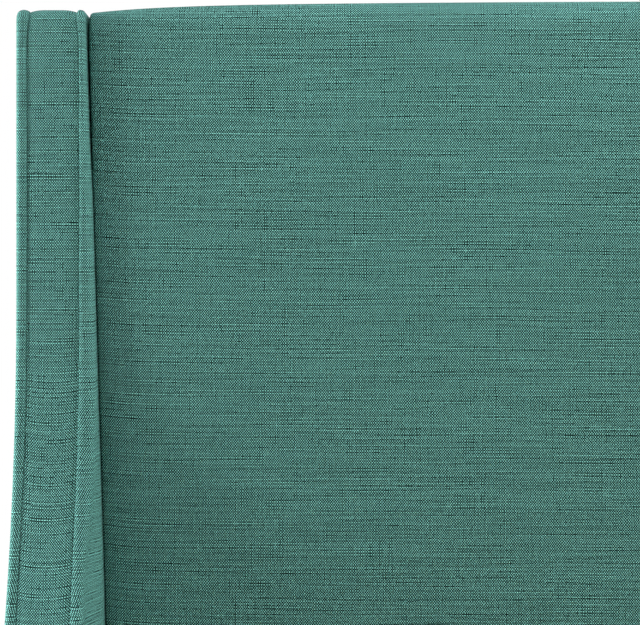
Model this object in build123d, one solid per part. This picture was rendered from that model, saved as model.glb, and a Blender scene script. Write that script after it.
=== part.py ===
"""Queen upholstered bed with a wingback headboard, built piece by piece.

Frame: +Z up, the floor at Z = 0, +Y towards the headboard, X = 0 on the bed's centreline and Y = 0
half way along the bed. All sizes are millimetres.
"""

from build123d import *
import math
import os

# ---------------------------------------------------------------------------------------------
# Driving dimensions
# ---------------------------------------------------------------------------------------------

# mattress and overall heights
mattress_width = 1524.0
mattress_length = 2032.0
mattress_side_gap = 2.0
mattress_end_gap = 8.0
headboard_height = 1422.0
rail_top_z = 381.0
slat_top_z = 305.0
foot_height = 90.0

# cloth, foam and boards
cloth = 1.5
back_cloth = 2.0
panel_board = 12.0
panel_foam = 50.0
rail_board_thickness = 28.0
rail_foam = 28.0
rail_top_foam = 8.0
frame_depth = 38.0
stile_width = 60.0

# headboard panel
panel_bottom_z = 320.0
panel_crown = 12.0
panel_board_side_cover = 24.0
top_foam = 24.0
bottom_rail_top_z = 310.0
bottom_rail_height = 110.0
middle_rail_top_z = 880.0
frame_rail_height = 80.0

# wings
wing_top_drop = 11.5
wing_flare = 18.0
wing_flare_height = 616.0
wing_projection = 8.0
wing_reach = 280.0
wing_core_thickness = 34.0
wing_outer_foam = 10.5
wing_inner_depth = 40.0
wing_edge_roll = 10.0
sweep_radius = 750.0
sweep_angle = 30.0
knee_radius = 160.0
knee_rise = 8.0
wing_top_corner = 14.0
wing_post_depth = 60.0
wing_bolt_rise = 20.0
wing_top_bolt_drop = 40.0

# slats, ledgers and centre support
slat_count = 14
slat_width = 75.0
slat_thickness = 19.0
slat_side_gap = 3.0
slat_foot_gap = 18.0
slat_head_gap = 10.0
ledger_width = 30.0
ledger_height = 38.0
strap_width = 30.0
strap_thickness = 1.5
strap_offset = 400.0
beam_width = 45.0
beam_height = 60.0
leg_side = 45.0
leg_count = 3
leg_chamfer = 3.0

# steel
plate_thickness = 3.0
hook_plate_width = 18.0
hook_plate_height = 150.0
hook_count = 2
hook_spacing = 90.0
hook_drop = 8.0
hook_height = 18.0
hook_reach = 9.0
hook_thickness = 3.0
hook_grip = 0.3
hook_side_gap = 0.1
slot_width = 4.4
slot_headroom = 1.0
pocket_width = 8.0
pocket_room = 3.0
hanger_steel = 2.0
hanger_length = 40.0
hanger_flange = 22.0
bracket_gap = 0.5

# screws, bolts and their holes
bolt_radius = 4.0
bolt_hole_radius = 4.5
bolt_head_radius = 8.0
bolt_head_height = 5.0
bolt_head_clearance = 0.5
leg_bolt_length = 90.0
washer_radius = 10.0
washer_thickness = 1.6
t_nut_flange_radius = 11.0
t_nut_flange = 1.5
t_nut_barrel_radius = 5.5
t_nut_barrel = 12.0
t_nut_clearance = 0.1
t_nut_setback = 0.5
t_nut_thread_fit = 0.02
wood_screw_radius = 2.5
wood_screw_head_radius = 4.5
wood_screw_head = 3.0
screw_clearance = 0.1
frame_screw_length = 110.0
frame_screw_pitch = 40.0
ledger_screw_length = 50.0
ledger_screw_count = 8
ledger_screw_margin = 60.0
slat_screw_length = 35.0

# feet and levelling glides
foot_top_side = 50.0
foot_bottom_side = 38.0
foot_inset = 16.0
nail_glide_radius = 14.0
nail_glide_height = 6.0
nail_glide_chamfer = 1.5
foot_bolt_length = 70.0
glide_pad_radius = 20.0
glide_pad_height = 9.0
glide_pad_chamfer = 2.5
glide_socket_radius = 6.0
glide_socket_depth = 5.0
glide_collar_radius = 8.0
glide_collar_height = 5.0
glide_up_travel = 10.0
glide_down_travel = 12.0
glide_stud_length = 52.0
glide_top_gap = 1.0
glide_fit = 0.08
stud_clearance = 1.0
moving_clearance = 0.4

# how far a cutting block runs past the face that it opens, and past the bed where it must clear it
overrun = 1.0
far_overrun = 100.0

# ---------------------------------------------------------------------------------------------
# Places worked out from the driving dimensions
# ---------------------------------------------------------------------------------------------

inner_half = mattress_width / 2 + mattress_side_gap
bay_length = mattress_length + 2 * mattress_end_gap
frame_front_u = back_cloth + frame_depth
board_front_u = frame_front_u + panel_board
panel_front_u = board_front_u + panel_foam + cloth
wing_top_front_u = panel_front_u + wing_projection
wing_front_u = wing_top_front_u + wing_reach
rail_thickness = 2 * cloth + rail_board_thickness + rail_foam
rail_outer = inner_half + rail_thickness
overall_length = panel_front_u + bay_length + rail_thickness
y_back = overall_length / 2
y_frame = y_back - frame_front_u
y_panel = y_back - panel_front_u
y_wing = y_back - wing_front_u
y_foot = y_panel - bay_length

core_inner = inner_half + wing_inner_depth
core_outer = core_inner + wing_core_thickness
wing_outer = core_outer + wing_outer_foam + cloth
wing_top_z = headboard_height - wing_top_drop
flare_z = wing_top_z - wing_flare_height
stile_inner = core_inner - stile_width
frame_top_z = headboard_height - panel_crown - top_foam - cloth
panel_edge_top_z = headboard_height - panel_crown

slat_bottom_z = slat_top_z - slat_thickness
ledger_inner = inner_half - ledger_width
rail_centre_z = (foot_height + rail_top_z) / 2
board_bottom_z = foot_height + cloth
board_top_z = rail_top_z - rail_top_foam - cloth
rail_board_inner = inner_half + cloth
rail_board_outer = rail_board_inner + rail_board_thickness
hook_x = rail_board_inner + rail_board_thickness / 2
leg_bottom_z = glide_pad_height + glide_collar_height + glide_up_travel + glide_top_gap
beam_bottom_z = slat_bottom_z - beam_height
beam_foot_y = y_foot + hanger_steel
beam_head_y = y_frame - hanger_steel

SIDES = {"left": -1, "right": 1}


# ---------------------------------------------------------------------------------------------
# Small helpers
# ---------------------------------------------------------------------------------------------

def block(x_low, x_high, y_low, y_high, z_low, z_high):
    """A box between two corners."""
    centre = ((x_low + x_high) / 2, (y_low + y_high) / 2, (z_low + z_high) / 2)
    return Pos(*centre) * Box(x_high - x_low, y_high - y_low, z_high - z_low)


def side_block(side, x_low, x_high, y_low, y_high, z_low, z_high):
    """A box given for the right-hand side, mirrored for the left-hand side."""
    if side > 0:
        return block(x_low, x_high, y_low, y_high, z_low, z_high)
    return block(-x_high, -x_low, y_low, y_high, z_low, z_high)


def rod(start, direction, length, radius):
    """A round bar from a start point along a direction."""
    plane = Plane(origin=start, z_dir=direction)
    return plane * Pos(0, 0, length / 2) * Cylinder(radius, length)


def mirrored(shape, side):
    """The right-hand shape, or its mirror image for the left-hand side."""
    return shape if side > 0 else mirror(shape, about=Plane.YZ)


def joined(pieces):
    """One compound of separate solids."""
    solids = []
    for piece in pieces:
        solids.extend(piece.solids())
    return Compound(children=solids)


def save(name, shape):
    """Write one sub-part."""
    export_step(shape, f"parts/{name}.step")


def wood_screw(start, direction, length):
    """A countersunk wood screw whose head is flush at the start point."""
    head = rod(start, direction, wood_screw_head, wood_screw_head_radius)
    return head + rod(start, direction, length, wood_screw_radius)


def wood_screw_hole(start, direction, length):
    """The hole that a wood screw fills, with its clearance."""
    head = rod(start, direction, wood_screw_head + screw_clearance, wood_screw_head_radius + screw_clearance)
    return head + rod(start, direction, length + screw_clearance, wood_screw_radius + screw_clearance)


# ---------------------------------------------------------------------------------------------
# Wing outline
# ---------------------------------------------------------------------------------------------

def wing_edge(inset):
    """Points of the wing's side outline at an inset from its front and top, as (y, z).

    The front edge runs straight down, sweeps forward round a large arc, goes on along the tangent,
    turns back round the knee arc just above the rail's top and ends straight down to the foot. The
    arcs keep their centres, so every inset is parallel to the outline. The sweep is set out from
    the knee upwards: its height is what the two arcs and the tangent between them need to cover
    the wing's reach.
    """
    angle = math.radians(sweep_angle)
    half = angle / 2
    radii = sweep_radius + knee_radius
    sweep_height = (radii - (radii - wing_reach) * math.cos(angle)) / math.sin(angle)
    knee_z = rail_top_z + knee_rise
    sweep_z = knee_z + sweep_height
    sweep_u = wing_top_front_u + sweep_radius
    knee_u = wing_front_u - knee_radius
    grow = sweep_radius + inset
    shrink = knee_radius - inset
    points = {
        "top": (wing_top_front_u - inset, wing_top_z - inset),
        "sweep_start": (wing_top_front_u - inset, sweep_z),
        "sweep_middle": (sweep_u - grow * math.cos(half), sweep_z - grow * math.sin(half)),
        "sweep_end": (sweep_u - grow * math.cos(angle), sweep_z - grow * math.sin(angle)),
        "knee_start": (knee_u + shrink * math.cos(angle), knee_z + shrink * math.sin(angle)),
        "knee_middle": (knee_u + shrink * math.cos(half), knee_z + shrink * math.sin(half)),
        "knee_end": (wing_front_u - inset, knee_z),
        "foot": (wing_front_u - inset, foot_height),
    }
    return {name: (y_back - u, z) for name, (u, z) in points.items()}


def wing_slab(inset, back_u, x_low, x_high):
    """A slab of the right-hand wing's outline between two X planes, from a back plane forward."""
    edge = wing_edge(inset)
    back_y = y_back - back_u
    corner = wing_top_corner - inset
    top_y, top_z = edge["top"]
    bow = corner * (1 - math.sqrt(0.5))
    outline = Curve() + [
        Line((back_y, foot_height), (back_y, top_z)),
        Line((back_y, top_z), (top_y + corner, top_z)),
        ThreePointArc((top_y + corner, top_z), (top_y + bow, top_z - bow), (top_y, top_z - corner)),
        Line((top_y, top_z - corner), edge["sweep_start"]),
        ThreePointArc(edge["sweep_start"], edge["sweep_middle"], edge["sweep_end"]),
        Line(edge["sweep_end"], edge["knee_start"]),
        ThreePointArc(edge["knee_start"], edge["knee_middle"], edge["knee_end"]),
        Line(edge["knee_end"], edge["foot"]),
        Line(edge["foot"], (back_y, foot_height)),
    ]
    face = Plane.YZ.offset(x_low) * make_face(outline)
    return extrude(face, amount=x_high - x_low, dir=(1, 0, 0))


def flare_prism(offset):
    """What lies inside the right-hand wing's inner face, moved outwards by an offset.

    The inner face is upright up to the flare height and then leans outwards to the top.
    """
    low_x = inner_half + offset
    top_x = low_x + wing_flare
    over_z = wing_top_z + far_overrun
    over_x = low_x + wing_flare * (over_z - flare_z) / (wing_top_z - flare_z)
    outline = Polyline(
        (0, 0), (low_x, 0), (low_x, flare_z), (top_x, wing_top_z), (over_x, over_z), (0, over_z),
        close=True,
    )
    face = Plane.XZ.offset(-y_back - far_overrun / 2) * make_face(outline)
    return extrude(face, amount=overall_length, dir=(0, -1, 0))


def stile_space():
    """The space behind the wing's inner pad that the stile takes, on the right-hand side."""
    return block(0, core_inner, y_frame, y_back + overrun, 0, frame_top_z)


def post_space(x_low):
    """The space that the wing's mounting post takes, on the right-hand side."""
    return block(x_low, core_inner, y_wing - overrun, y_wing + wing_post_depth,
                 foot_height - overrun, board_top_z)


# ---------------------------------------------------------------------------------------------
# Bolts that hold the wings, and where they go
# ---------------------------------------------------------------------------------------------

wing_bolt_z = (
    bottom_rail_top_z + frame_rail_height / 2 + wing_bolt_rise,
    middle_rail_top_z + frame_rail_height / 2 + wing_bolt_rise,
    frame_top_z - frame_rail_height - wing_top_bolt_drop,
)
wing_bolt_y = y_back - back_cloth - frame_depth / 2
t_nut_seat_x = core_outer - t_nut_flange - t_nut_setback


def wing_bolt_places():
    """One bolt place for each height on the right-hand side."""
    return [(wing_bolt_y, z) for z in wing_bolt_z]


# ---------------------------------------------------------------------------------------------
# Headboard: frame, board, pad and cloth
# ---------------------------------------------------------------------------------------------

def headboard_stile(side):
    """An upright that runs from its nail-on glide to the top, drilled for the wing bolts."""
    shape = block(stile_inner, core_inner, y_frame, y_back - back_cloth, nail_glide_height, frame_top_z)
    for y, z in wing_bolt_places():
        shape -= rod((stile_inner - overrun, y, z), (1, 0, 0), stile_width + 2 * overrun, bolt_hole_radius)
    for start, direction in frame_screw_places():
        shape -= wood_screw_hole(start, direction, frame_screw_length)
    return mirrored(shape, side)


def frame_screw_places():
    """Screws through the right-hand stile into the three cross rails, two to a rail."""
    places = []
    for top_z, height in cross_rails().values():
        for offset in (-frame_screw_pitch / 2, frame_screw_pitch / 2):
            z = top_z - height / 2 + offset
            places.append(((core_inner, wing_bolt_y, z), (-1, 0, 0)))
    return places


def cross_rails():
    """Top height and height of each cross rail of the headboard's frame."""
    return {
        "headboard_top_rail": (frame_top_z, frame_rail_height),
        "headboard_middle_rail": (middle_rail_top_z, frame_rail_height),
        "headboard_bottom_rail": (bottom_rail_top_z, bottom_rail_height),
    }


def cross_rail(top_z, height):
    """A cross rail between the stiles, with the screw holes in both ends."""
    shape = block(-stile_inner, stile_inner, y_frame, y_back - back_cloth, top_z - height, top_z)
    for start, direction in frame_screw_places():
        if top_z - height < start[2] < top_z:
            hole = wood_screw_hole(start, direction, frame_screw_length)
            shape -= hole
            shape -= mirror(hole, about=Plane.YZ)
    return shape


def panel_prism(inset, back_u, front_u, bottom_z):
    """The headboard panel's block at an inset: sides that lean with the wings, and an arched top."""
    low_x = inner_half - inset
    top_z = panel_edge_top_z - inset
    top_x = low_x + wing_flare * (top_z - flare_z) / (wing_top_z - flare_z)
    outline = Curve() + [
        Line((-low_x, bottom_z), (low_x, bottom_z)),
        Line((low_x, bottom_z), (low_x, flare_z)),
        Line((low_x, flare_z), (top_x, top_z)),
        ThreePointArc((top_x, top_z), (0, top_z + panel_crown), (-top_x, top_z)),
        Line((-top_x, top_z), (-low_x, flare_z)),
        Line((-low_x, flare_z), (-low_x, bottom_z)),
    ]
    face = Plane.XZ.offset(-(y_back - back_u)) * make_face(outline)
    return extrude(face, amount=front_u - back_u, dir=(0, -1, 0))


def frame_space():
    """Everything behind the panel's foam: the frame's depth, up to the frame's top."""
    return block(-wing_outer, wing_outer, y_frame, y_back + overrun, 0, frame_top_z)


def backing_board():
    """The plywood that carries the panel's foam."""
    half = inner_half - panel_board_side_cover
    return block(-half, half, y_back - board_front_u, y_frame, panel_bottom_z, frame_top_z)


def headboard_pad():
    """The panel's foam: a slab in front of the board that wraps over the frame's top."""
    shape = panel_prism(cloth, back_cloth, panel_front_u - cloth, panel_bottom_z)
    return shape - frame_space() - backing_board()


def headboard_cover():
    """The panel's cloth: front, sides and top, open behind and below."""
    outer = panel_prism(0, back_cloth, panel_front_u, panel_bottom_z)
    inner = panel_prism(cloth, back_cloth - overrun, panel_front_u - cloth, panel_bottom_z - overrun)
    return outer - inner - frame_space()


def back_cover():
    """The plain cloth stapled over the back of the headboard's frame."""
    return block(-core_inner, core_inner, y_back - back_cloth, y_back - back_cloth + cloth,
                 bottom_rail_top_z - bottom_rail_height, frame_top_z)


# ---------------------------------------------------------------------------------------------
# Wings
# ---------------------------------------------------------------------------------------------

def wing_core(side):
    """The wing's wooden panel, drilled and counterbored for the bolts' T-nuts."""
    shape = wing_slab(wing_edge_roll, back_cloth, core_inner, core_outer)
    for y, z in wing_bolt_places():
        shape -= rod((core_inner - overrun, y, z), (1, 0, 0), wing_core_thickness + 2 * overrun,
                     bolt_hole_radius)
        shape -= rod((t_nut_seat_x, y, z), (1, 0, 0), core_outer - t_nut_seat_x + overrun,
                     t_nut_flange_radius + t_nut_clearance)
        shape -= rod((t_nut_seat_x, y, z), (-1, 0, 0), t_nut_barrel + t_nut_clearance,
                     t_nut_barrel_radius + t_nut_clearance)
    shape -= foot_bolt_hole(wing_foot_place())
    return mirrored(shape, side)


def wing_inner_pad(side):
    """The foam on the wing's inner side, thinner towards the top and clear of the stile and post."""
    shape = wing_slab(wing_edge_roll, back_cloth, inner_half, core_inner)
    shape = shape - flare_prism(cloth) - stile_space() - post_space(0)
    return mirrored(shape, side)


def wing_inner_cover(side):
    """The cloth over the inner pad."""
    shape = wing_slab(wing_edge_roll, back_cloth, inner_half, core_inner)
    shape = (shape - flare_prism(0)) & flare_prism(cloth)
    return mirrored(shape - stile_space(), side)


def wing_outer_pad(side):
    """The thin foam on the wing's outer side."""
    return mirrored(wing_slab(wing_edge_roll, back_cloth, core_outer, wing_outer - cloth), side)


def wing_outer_cover(side):
    """The cloth over the outer pad, turned in over the wing's back edge."""
    shape = wing_slab(wing_edge_roll, 0, wing_outer - cloth, wing_outer)
    turned = block(core_inner, wing_outer - cloth, y_back - cloth, y_back, foot_height,
                   wing_top_z - wing_edge_roll)
    return mirrored(shape + turned, side)


def wing_rim(inset_low, inset_high, x_low, x_high):
    """A strip that follows the wing's front and top between two insets."""
    inside = wing_slab(inset_high, -overrun, x_low - overrun, x_high + overrun)
    return wing_slab(inset_low, 0, x_low, x_high) - inside


def wing_inner_roll(side):
    """The padded roll that rounds the edge between the inner face and the front band."""
    shape = wing_rim(0, wing_edge_roll, inner_half, inner_half + wing_flare + wing_edge_roll)
    shape = (shape - flare_prism(0)) & flare_prism(wing_edge_roll)
    return mirrored(shape - plate_window(), side)


def wing_outer_roll(side):
    """The padded roll that rounds the edge between the outer face and the front band."""
    return mirrored(wing_rim(0, wing_edge_roll, wing_outer - wing_edge_roll, wing_outer), side)


def wing_front_pad(side):
    """The foam under the front band, between the two rolls."""
    shape = wing_rim(cloth, wing_edge_roll, inner_half, wing_outer - wing_edge_roll)
    return mirrored(shape - flare_prism(wing_edge_roll) - post_space(0), side)


def wing_front_band(side):
    """The boxing strip that covers the wing's front and top edge."""
    shape = wing_rim(0, cloth, inner_half, wing_outer - wing_edge_roll)
    return mirrored(shape - flare_prism(wing_edge_roll) - plate_window(), side)


def wing_post(side):
    """The hardwood post inside the wing's front that takes the side rail's hooks."""
    shape = block(rail_board_inner, core_inner, y_wing + cloth, y_wing + wing_post_depth,
                  foot_height, board_top_z)
    shape -= wing_rim(0, wing_edge_roll, inner_half, inner_half + wing_edge_roll)
    shape = shape - plate_window() - hook_pockets(y_wing, 1)
    return mirrored(shape, side)


# ---------------------------------------------------------------------------------------------
# Hook plates: the rail's end plate and the slotted plate that it drops into
# ---------------------------------------------------------------------------------------------

hook_zs = [rail_centre_z + (i - (hook_count - 1) / 2) * hook_spacing for i in range(hook_count)]


def plate_block(y_low, y_high, grow=0.0):
    """The outline of either plate between two Y planes, on the right-hand side."""
    half_width = hook_plate_width / 2 + grow
    half_height = hook_plate_height / 2 + grow
    return block(hook_x - half_width, hook_x + half_width, y_low, y_high,
                 rail_centre_z - half_height, rail_centre_z + half_height)


def plate_window():
    """The opening for the slotted plate in the wing's front, right-hand side."""
    return plate_block(y_wing - overrun, y_wing + plate_thickness)


def hook_pockets(y_face, inward):
    """The pockets behind a slotted plate that the hooks reach into; inward is +1 or -1 along Y."""
    shape = Part()
    for z in hook_zs:
        y_far = y_face + inward * (plate_thickness + hook_reach + pocket_room)
        shape += block(hook_x - pocket_width / 2, hook_x + pocket_width / 2,
                       min(y_face, y_far), max(y_face, y_far),
                       z - hook_height / 2 - hook_drop - pocket_room, z + hook_height / 2 + pocket_room)
    return shape


def slot_plate(side, y_face, inward):
    """A slotted steel plate let into the wood, its outer face flush with the cloth."""
    y_far = y_face + inward * plate_thickness
    shape = plate_block(min(y_face, y_far), max(y_face, y_far))
    for z in hook_zs:
        shape -= block(hook_x - slot_width / 2, hook_x + slot_width / 2, -overall_length, overall_length,
                       z - hook_height / 2 - hook_drop, z + hook_height / 2 + slot_headroom)
    return mirrored(shape, side)


def hook_plate(side, y_face, inward):
    """The rail's end plate with its hooks, which drop behind the slotted plate."""
    y_rail = y_face - inward * plate_thickness
    shape = plate_block(min(y_face, y_rail), max(y_face, y_rail))
    half = hook_thickness / 2
    gap_half = half + hook_side_gap
    for z in hook_zs:
        low = z - hook_height / 2
        y_tip = y_face + inward * (plate_thickness + hook_reach)
        y_lip = y_face + inward * (plate_thickness + hook_grip)
        shape += block(hook_x - half, hook_x + half, min(y_face, y_tip), max(y_face, y_tip),
                       low, low + hook_height)
        shape += block(hook_x - half, hook_x + half, min(y_lip, y_tip), max(y_lip, y_tip),
                       low - hook_drop, low)
        shape -= block(hook_x - gap_half, hook_x + gap_half, min(y_face, y_lip), max(y_face, y_lip),
                       low - hook_drop, low)
    return mirrored(shape, side)


# ---------------------------------------------------------------------------------------------
# Side rails and foot rail
# ---------------------------------------------------------------------------------------------

def side_rail_board(side):
    """The wooden board of a side rail, let in for its end plates and drilled for ledger screws."""
    shape = block(rail_board_inner, rail_board_outer, y_foot, y_wing, board_bottom_z, board_top_z)
    shape -= plate_block(y_wing - plate_thickness, y_wing + overrun)
    shape -= plate_block(y_foot - overrun, y_foot + plate_thickness)
    for start, direction in ledger_screw_places():
        if start[1] < y_wing:
            shape -= wood_screw_hole(start, direction, ledger_screw_length)
    return mirrored(shape, side)


def side_rail_pad(side):
    """The foam over the rail board's outer face and top."""
    whole = block(rail_board_inner, rail_outer - cloth, y_foot, y_wing, board_bottom_z, rail_top_z - cloth)
    board = block(rail_board_inner - overrun, rail_board_outer, y_foot - overrun, y_wing + overrun,
                  0, board_top_z)
    return mirrored(whole - board, side)


def side_rail_cover(side):
    """The cloth sleeve of a side rail, open at both ends."""
    outer = block(inner_half, rail_outer, y_foot, y_wing, foot_height, rail_top_z)
    inner = block(rail_board_inner, rail_outer - cloth, y_foot - overrun, y_wing + overrun,
                  board_bottom_z, rail_top_z - cloth)
    shape = outer - inner
    for start, direction in ledger_screw_places():
        if start[1] < y_wing:
            shape -= wood_screw_hole(start, direction, ledger_screw_length)
    return mirrored(shape, side)


def foot_rail_board():
    """The wooden board of the foot rail, let in for the two slotted plates and the feet's bolts."""
    half = rail_outer - cloth
    shape = block(-half, half, y_foot - cloth - rail_board_thickness, y_foot - cloth,
                  board_bottom_z, board_top_z)
    cuts = [plate_block(y_foot - plate_thickness, y_foot + overrun), hook_pockets(y_foot, -1),
            foot_bolt_hole(foot_rail_foot_place())]
    for cut in cuts:
        shape = shape - cut - mirror(cut, about=Plane.YZ)
    return shape


def foot_rail_pad():
    """The foam over the foot board's outer face and top."""
    half = rail_outer - cloth
    whole = block(-half, half, y_foot - rail_thickness + cloth, y_foot - cloth,
                  board_bottom_z, rail_top_z - cloth)
    board = block(-half - overrun, half + overrun, y_foot - cloth - rail_board_thickness, y_foot,
                  0, board_top_z)
    return whole - board


def foot_rail_cover():
    """The foot rail's cloth, closed at both ends, with windows for the plates and bolts."""
    outer = block(-rail_outer, rail_outer, y_foot - rail_thickness, y_foot, foot_height, rail_top_z)
    half = rail_outer - cloth
    inner = block(-half, half, y_foot - rail_thickness + cloth, y_foot - cloth,
                  board_bottom_z, rail_top_z - cloth)
    shape = outer - inner
    window = plate_block(y_foot - plate_thickness, y_foot + overrun)
    for cut in (window, foot_bolt_hole(foot_rail_foot_place())):
        shape = shape - cut - mirror(cut, about=Plane.YZ)
    return shape


# ---------------------------------------------------------------------------------------------
# Ledgers, slats and straps
# ---------------------------------------------------------------------------------------------

def ledger_screw_places():
    """Screws from the ledger's inner face into the rail board, evenly spaced, right-hand side."""
    first = y_foot + ledger_screw_margin
    last = y_wing - ledger_screw_margin
    step = (last - first) / (ledger_screw_count - 1)
    z = slat_bottom_z - ledger_height / 2
    return [((ledger_inner, first + i * step, z), (1, 0, 0)) for i in range(ledger_screw_count)]


def slat_ledger(side):
    """The cleat along a side rail that carries the slats' ends, running on to the headboard frame."""
    shape = block(ledger_inner, inner_half, y_foot, y_frame,
                  slat_bottom_z - ledger_height, slat_bottom_z)
    for start, direction in ledger_screw_places():
        shape -= wood_screw_hole(start, direction, ledger_screw_length)
    for start, direction in slat_screw_places():
        shape -= wood_screw_hole(start, direction, slat_screw_length)
    return mirrored(shape, side)


def slat_positions():
    """The Y centre of every slat."""
    first = y_foot + slat_foot_gap + slat_width / 2
    last = y_panel - slat_head_gap - slat_width / 2
    step = (last - first) / (slat_count - 1)
    return [first + i * step for i in range(slat_count)]


def slat_screw_places():
    """A screw through each end of the first and last slat, right-hand side."""
    x = (ledger_inner + inner_half - slat_side_gap) / 2
    ys = slat_positions()
    return [((x, y, slat_top_z), (0, 0, -1)) for y in (ys[0], ys[-1])]


def slats():
    """The slats, of which the end two are screwed down."""
    half = inner_half - slat_side_gap
    holes = [wood_screw_hole(s, d, slat_screw_length) for s, d in slat_screw_places()]
    pieces = []
    for index, y in enumerate(slat_positions()):
        slat = block(-half, half, y - slat_width / 2, y + slat_width / 2, slat_bottom_z, slat_top_z)
        if index in (0, slat_count - 1):
            hole = holes[0] if index == 0 else holes[1]
            slat = slat - hole - mirror(hole, about=Plane.YZ)
        pieces.append(slat)
    return joined(pieces)


def slat_straps():
    """Two webbing straps stapled under the slats to keep their spacing."""
    ys = slat_positions()
    pieces = []
    for x in (-strap_offset, strap_offset):
        pieces.append(block(x - strap_width / 2, x + strap_width / 2, ys[0], ys[-1],
                            slat_bottom_z - strap_thickness, slat_bottom_z))
    return joined(pieces)


# ---------------------------------------------------------------------------------------------
# Centre beam, its hangers and its legs
# ---------------------------------------------------------------------------------------------

def leg_positions():
    """The Y centre of each centre leg, evenly spaced along the beam."""
    return [y_foot + bay_length * (i + 1) / (leg_count + 1) for i in range(leg_count)]


def centre_beam():
    """The beam under the slats' middle, drilled for the legs' bolts."""
    shape = block(-beam_width / 2, beam_width / 2, beam_foot_y, beam_head_y, beam_bottom_z, slat_bottom_z)
    for y in leg_positions():
        shape -= leg_bolt_hole(y)
    return shape


def beam_hanger(y_wall, outward):
    """A folded steel cradle screwed to a wall; outward is the Y direction away from that wall."""
    half = beam_width / 2
    y_plate = y_wall + outward * hanger_steel
    y_end = y_wall + outward * hanger_length
    low = beam_bottom_z - hanger_steel
    plate = block(-half - hanger_flange, half + hanger_flange, min(y_wall, y_plate), max(y_wall, y_plate),
                  low, slat_bottom_z)
    tray = block(-half - hanger_steel, half + hanger_steel, min(y_wall, y_end), max(y_wall, y_end),
                 low, slat_bottom_z)
    tray -= block(-half, half, min(y_plate, y_end + outward), max(y_plate, y_end + outward),
                  beam_bottom_z, slat_bottom_z + overrun)
    return plate + tray


def ledger_brackets():
    """Four steel angles under the ledgers' ends, against the headboard frame and the foot rail."""
    pieces = []
    top = slat_bottom_z - ledger_height
    for side in SIDES.values():
        for y_wall, outward in ((y_frame, -1), (y_foot, 1)):
            y_plate = y_wall + outward * hanger_steel
            y_end = y_wall + outward * hanger_length
            upright = side_block(side, ledger_inner, inner_half - bracket_gap, min(y_wall, y_plate),
                                 max(y_wall, y_plate), top - hanger_length, top)
            shelf = side_block(side, ledger_inner, inner_half - bracket_gap, min(y_wall, y_end),
                               max(y_wall, y_end), top - hanger_steel, top)
            pieces.append(upright + shelf)
    return joined(pieces)


def leg_bolt_hole(y):
    """The hole for a leg's bolt, from the beam's top down into the leg."""
    start = (0, y, slat_bottom_z + overrun)
    hole = rod(start, (0, 0, -1), leg_bolt_length + 2 * overrun, bolt_radius + screw_clearance)
    return hole + rod(start, (0, 0, -1), bolt_head_height + overrun + screw_clearance,
                      bolt_head_radius + bolt_head_clearance)


def leg_bolts():
    """The bolts that hold the centre legs, with their heads let into the beam's top."""
    pieces = []
    for y in leg_positions():
        start = (0, y, slat_bottom_z)
        pieces.append(rod(start, (0, 0, -1), leg_bolt_length, bolt_radius)
                      + rod(start, (0, 0, -1), bolt_head_height, bolt_head_radius))
    return joined(pieces)


def centre_leg(y):
    """A square leg with a chamfered foot, bored from below for its T-nut and glide stud."""
    half = leg_side / 2
    shape = block(-half, half, y - half, y + half, leg_bottom_z, beam_bottom_z)
    shape = chamfer(shape.faces().sort_by(Axis.Z)[0].edges(), leg_chamfer)
    shape -= leg_bolt_hole(y)
    bottom = (0, y, leg_bottom_z)
    stud_room = glide_stud_length + glide_up_travel
    shape -= rod(bottom, (0, 0, 1), stud_room, bolt_radius + stud_clearance)
    shape -= rod(bottom, (0, 0, 1), t_nut_barrel + t_nut_flange + t_nut_clearance,
                 t_nut_barrel_radius + t_nut_clearance)
    shape -= rod(bottom, (0, 0, 1), t_nut_flange, t_nut_flange_radius + t_nut_clearance)
    return shape


def t_nut(seat, direction, bore):
    """A T-nut with its flange outside at the seat and its barrel along the direction."""
    shape = rod(seat, direction, t_nut_flange, t_nut_flange_radius)
    shape += rod(seat, direction, t_nut_flange + t_nut_barrel, t_nut_barrel_radius)
    return shape - rod(seat, direction, 2 * t_nut_barrel, bore)


def leg_t_nuts():
    """The T-nuts in the centre legs that the glide studs turn in."""
    return joined([t_nut((0, y, leg_bottom_z), (0, 0, 1), bolt_radius + glide_fit) for y in leg_positions()])


# ---------------------------------------------------------------------------------------------
# Levelling glides
# ---------------------------------------------------------------------------------------------

def glide_pad(y):
    """The glide's round plastic base, with a socket for the stud's foot."""
    base = rod((0, y, 0), (0, 0, 1), glide_pad_height, glide_pad_radius)
    base = chamfer(base.edges().filter_by(GeomType.CIRCLE).sort_by(Axis.Z)[-1], glide_pad_chamfer)
    socket_z = glide_pad_height - glide_socket_depth
    return base - rod((0, y, socket_z), (0, 0, 1), glide_socket_depth + overrun, glide_socket_radius)


def glide_stud(y):
    """The threaded stud: a foot in the base's socket, a hexagonal collar and the shank."""
    foot_z = glide_pad_height - glide_socket_depth + moving_clearance
    collar_z = glide_pad_height + moving_clearance
    shape = rod((0, y, foot_z), (0, 0, 1), collar_z - foot_z + overrun,
                glide_socket_radius - moving_clearance)
    hexagon = Plane(origin=(0, y, collar_z)) * RegularPolygon(glide_collar_radius, 6)
    shape += extrude(hexagon, amount=glide_collar_height)
    return shape + rod((0, y, foot_z), (0, 0, 1), glide_stud_length, bolt_radius)


# ---------------------------------------------------------------------------------------------
# Feet, their bolts and nail-on glides
# ---------------------------------------------------------------------------------------------

def wing_foot_place():
    """The right-hand wing foot's centre, as (x, y)."""
    return ((core_inner + core_outer) / 2, y_wing + foot_inset + foot_top_side / 2)


def foot_rail_foot_place():
    """The right-hand foot-rail foot's centre, as (x, y), under the foot board."""
    return (rail_outer - foot_inset - foot_top_side / 2, y_foot - cloth - rail_board_thickness / 2)


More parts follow.
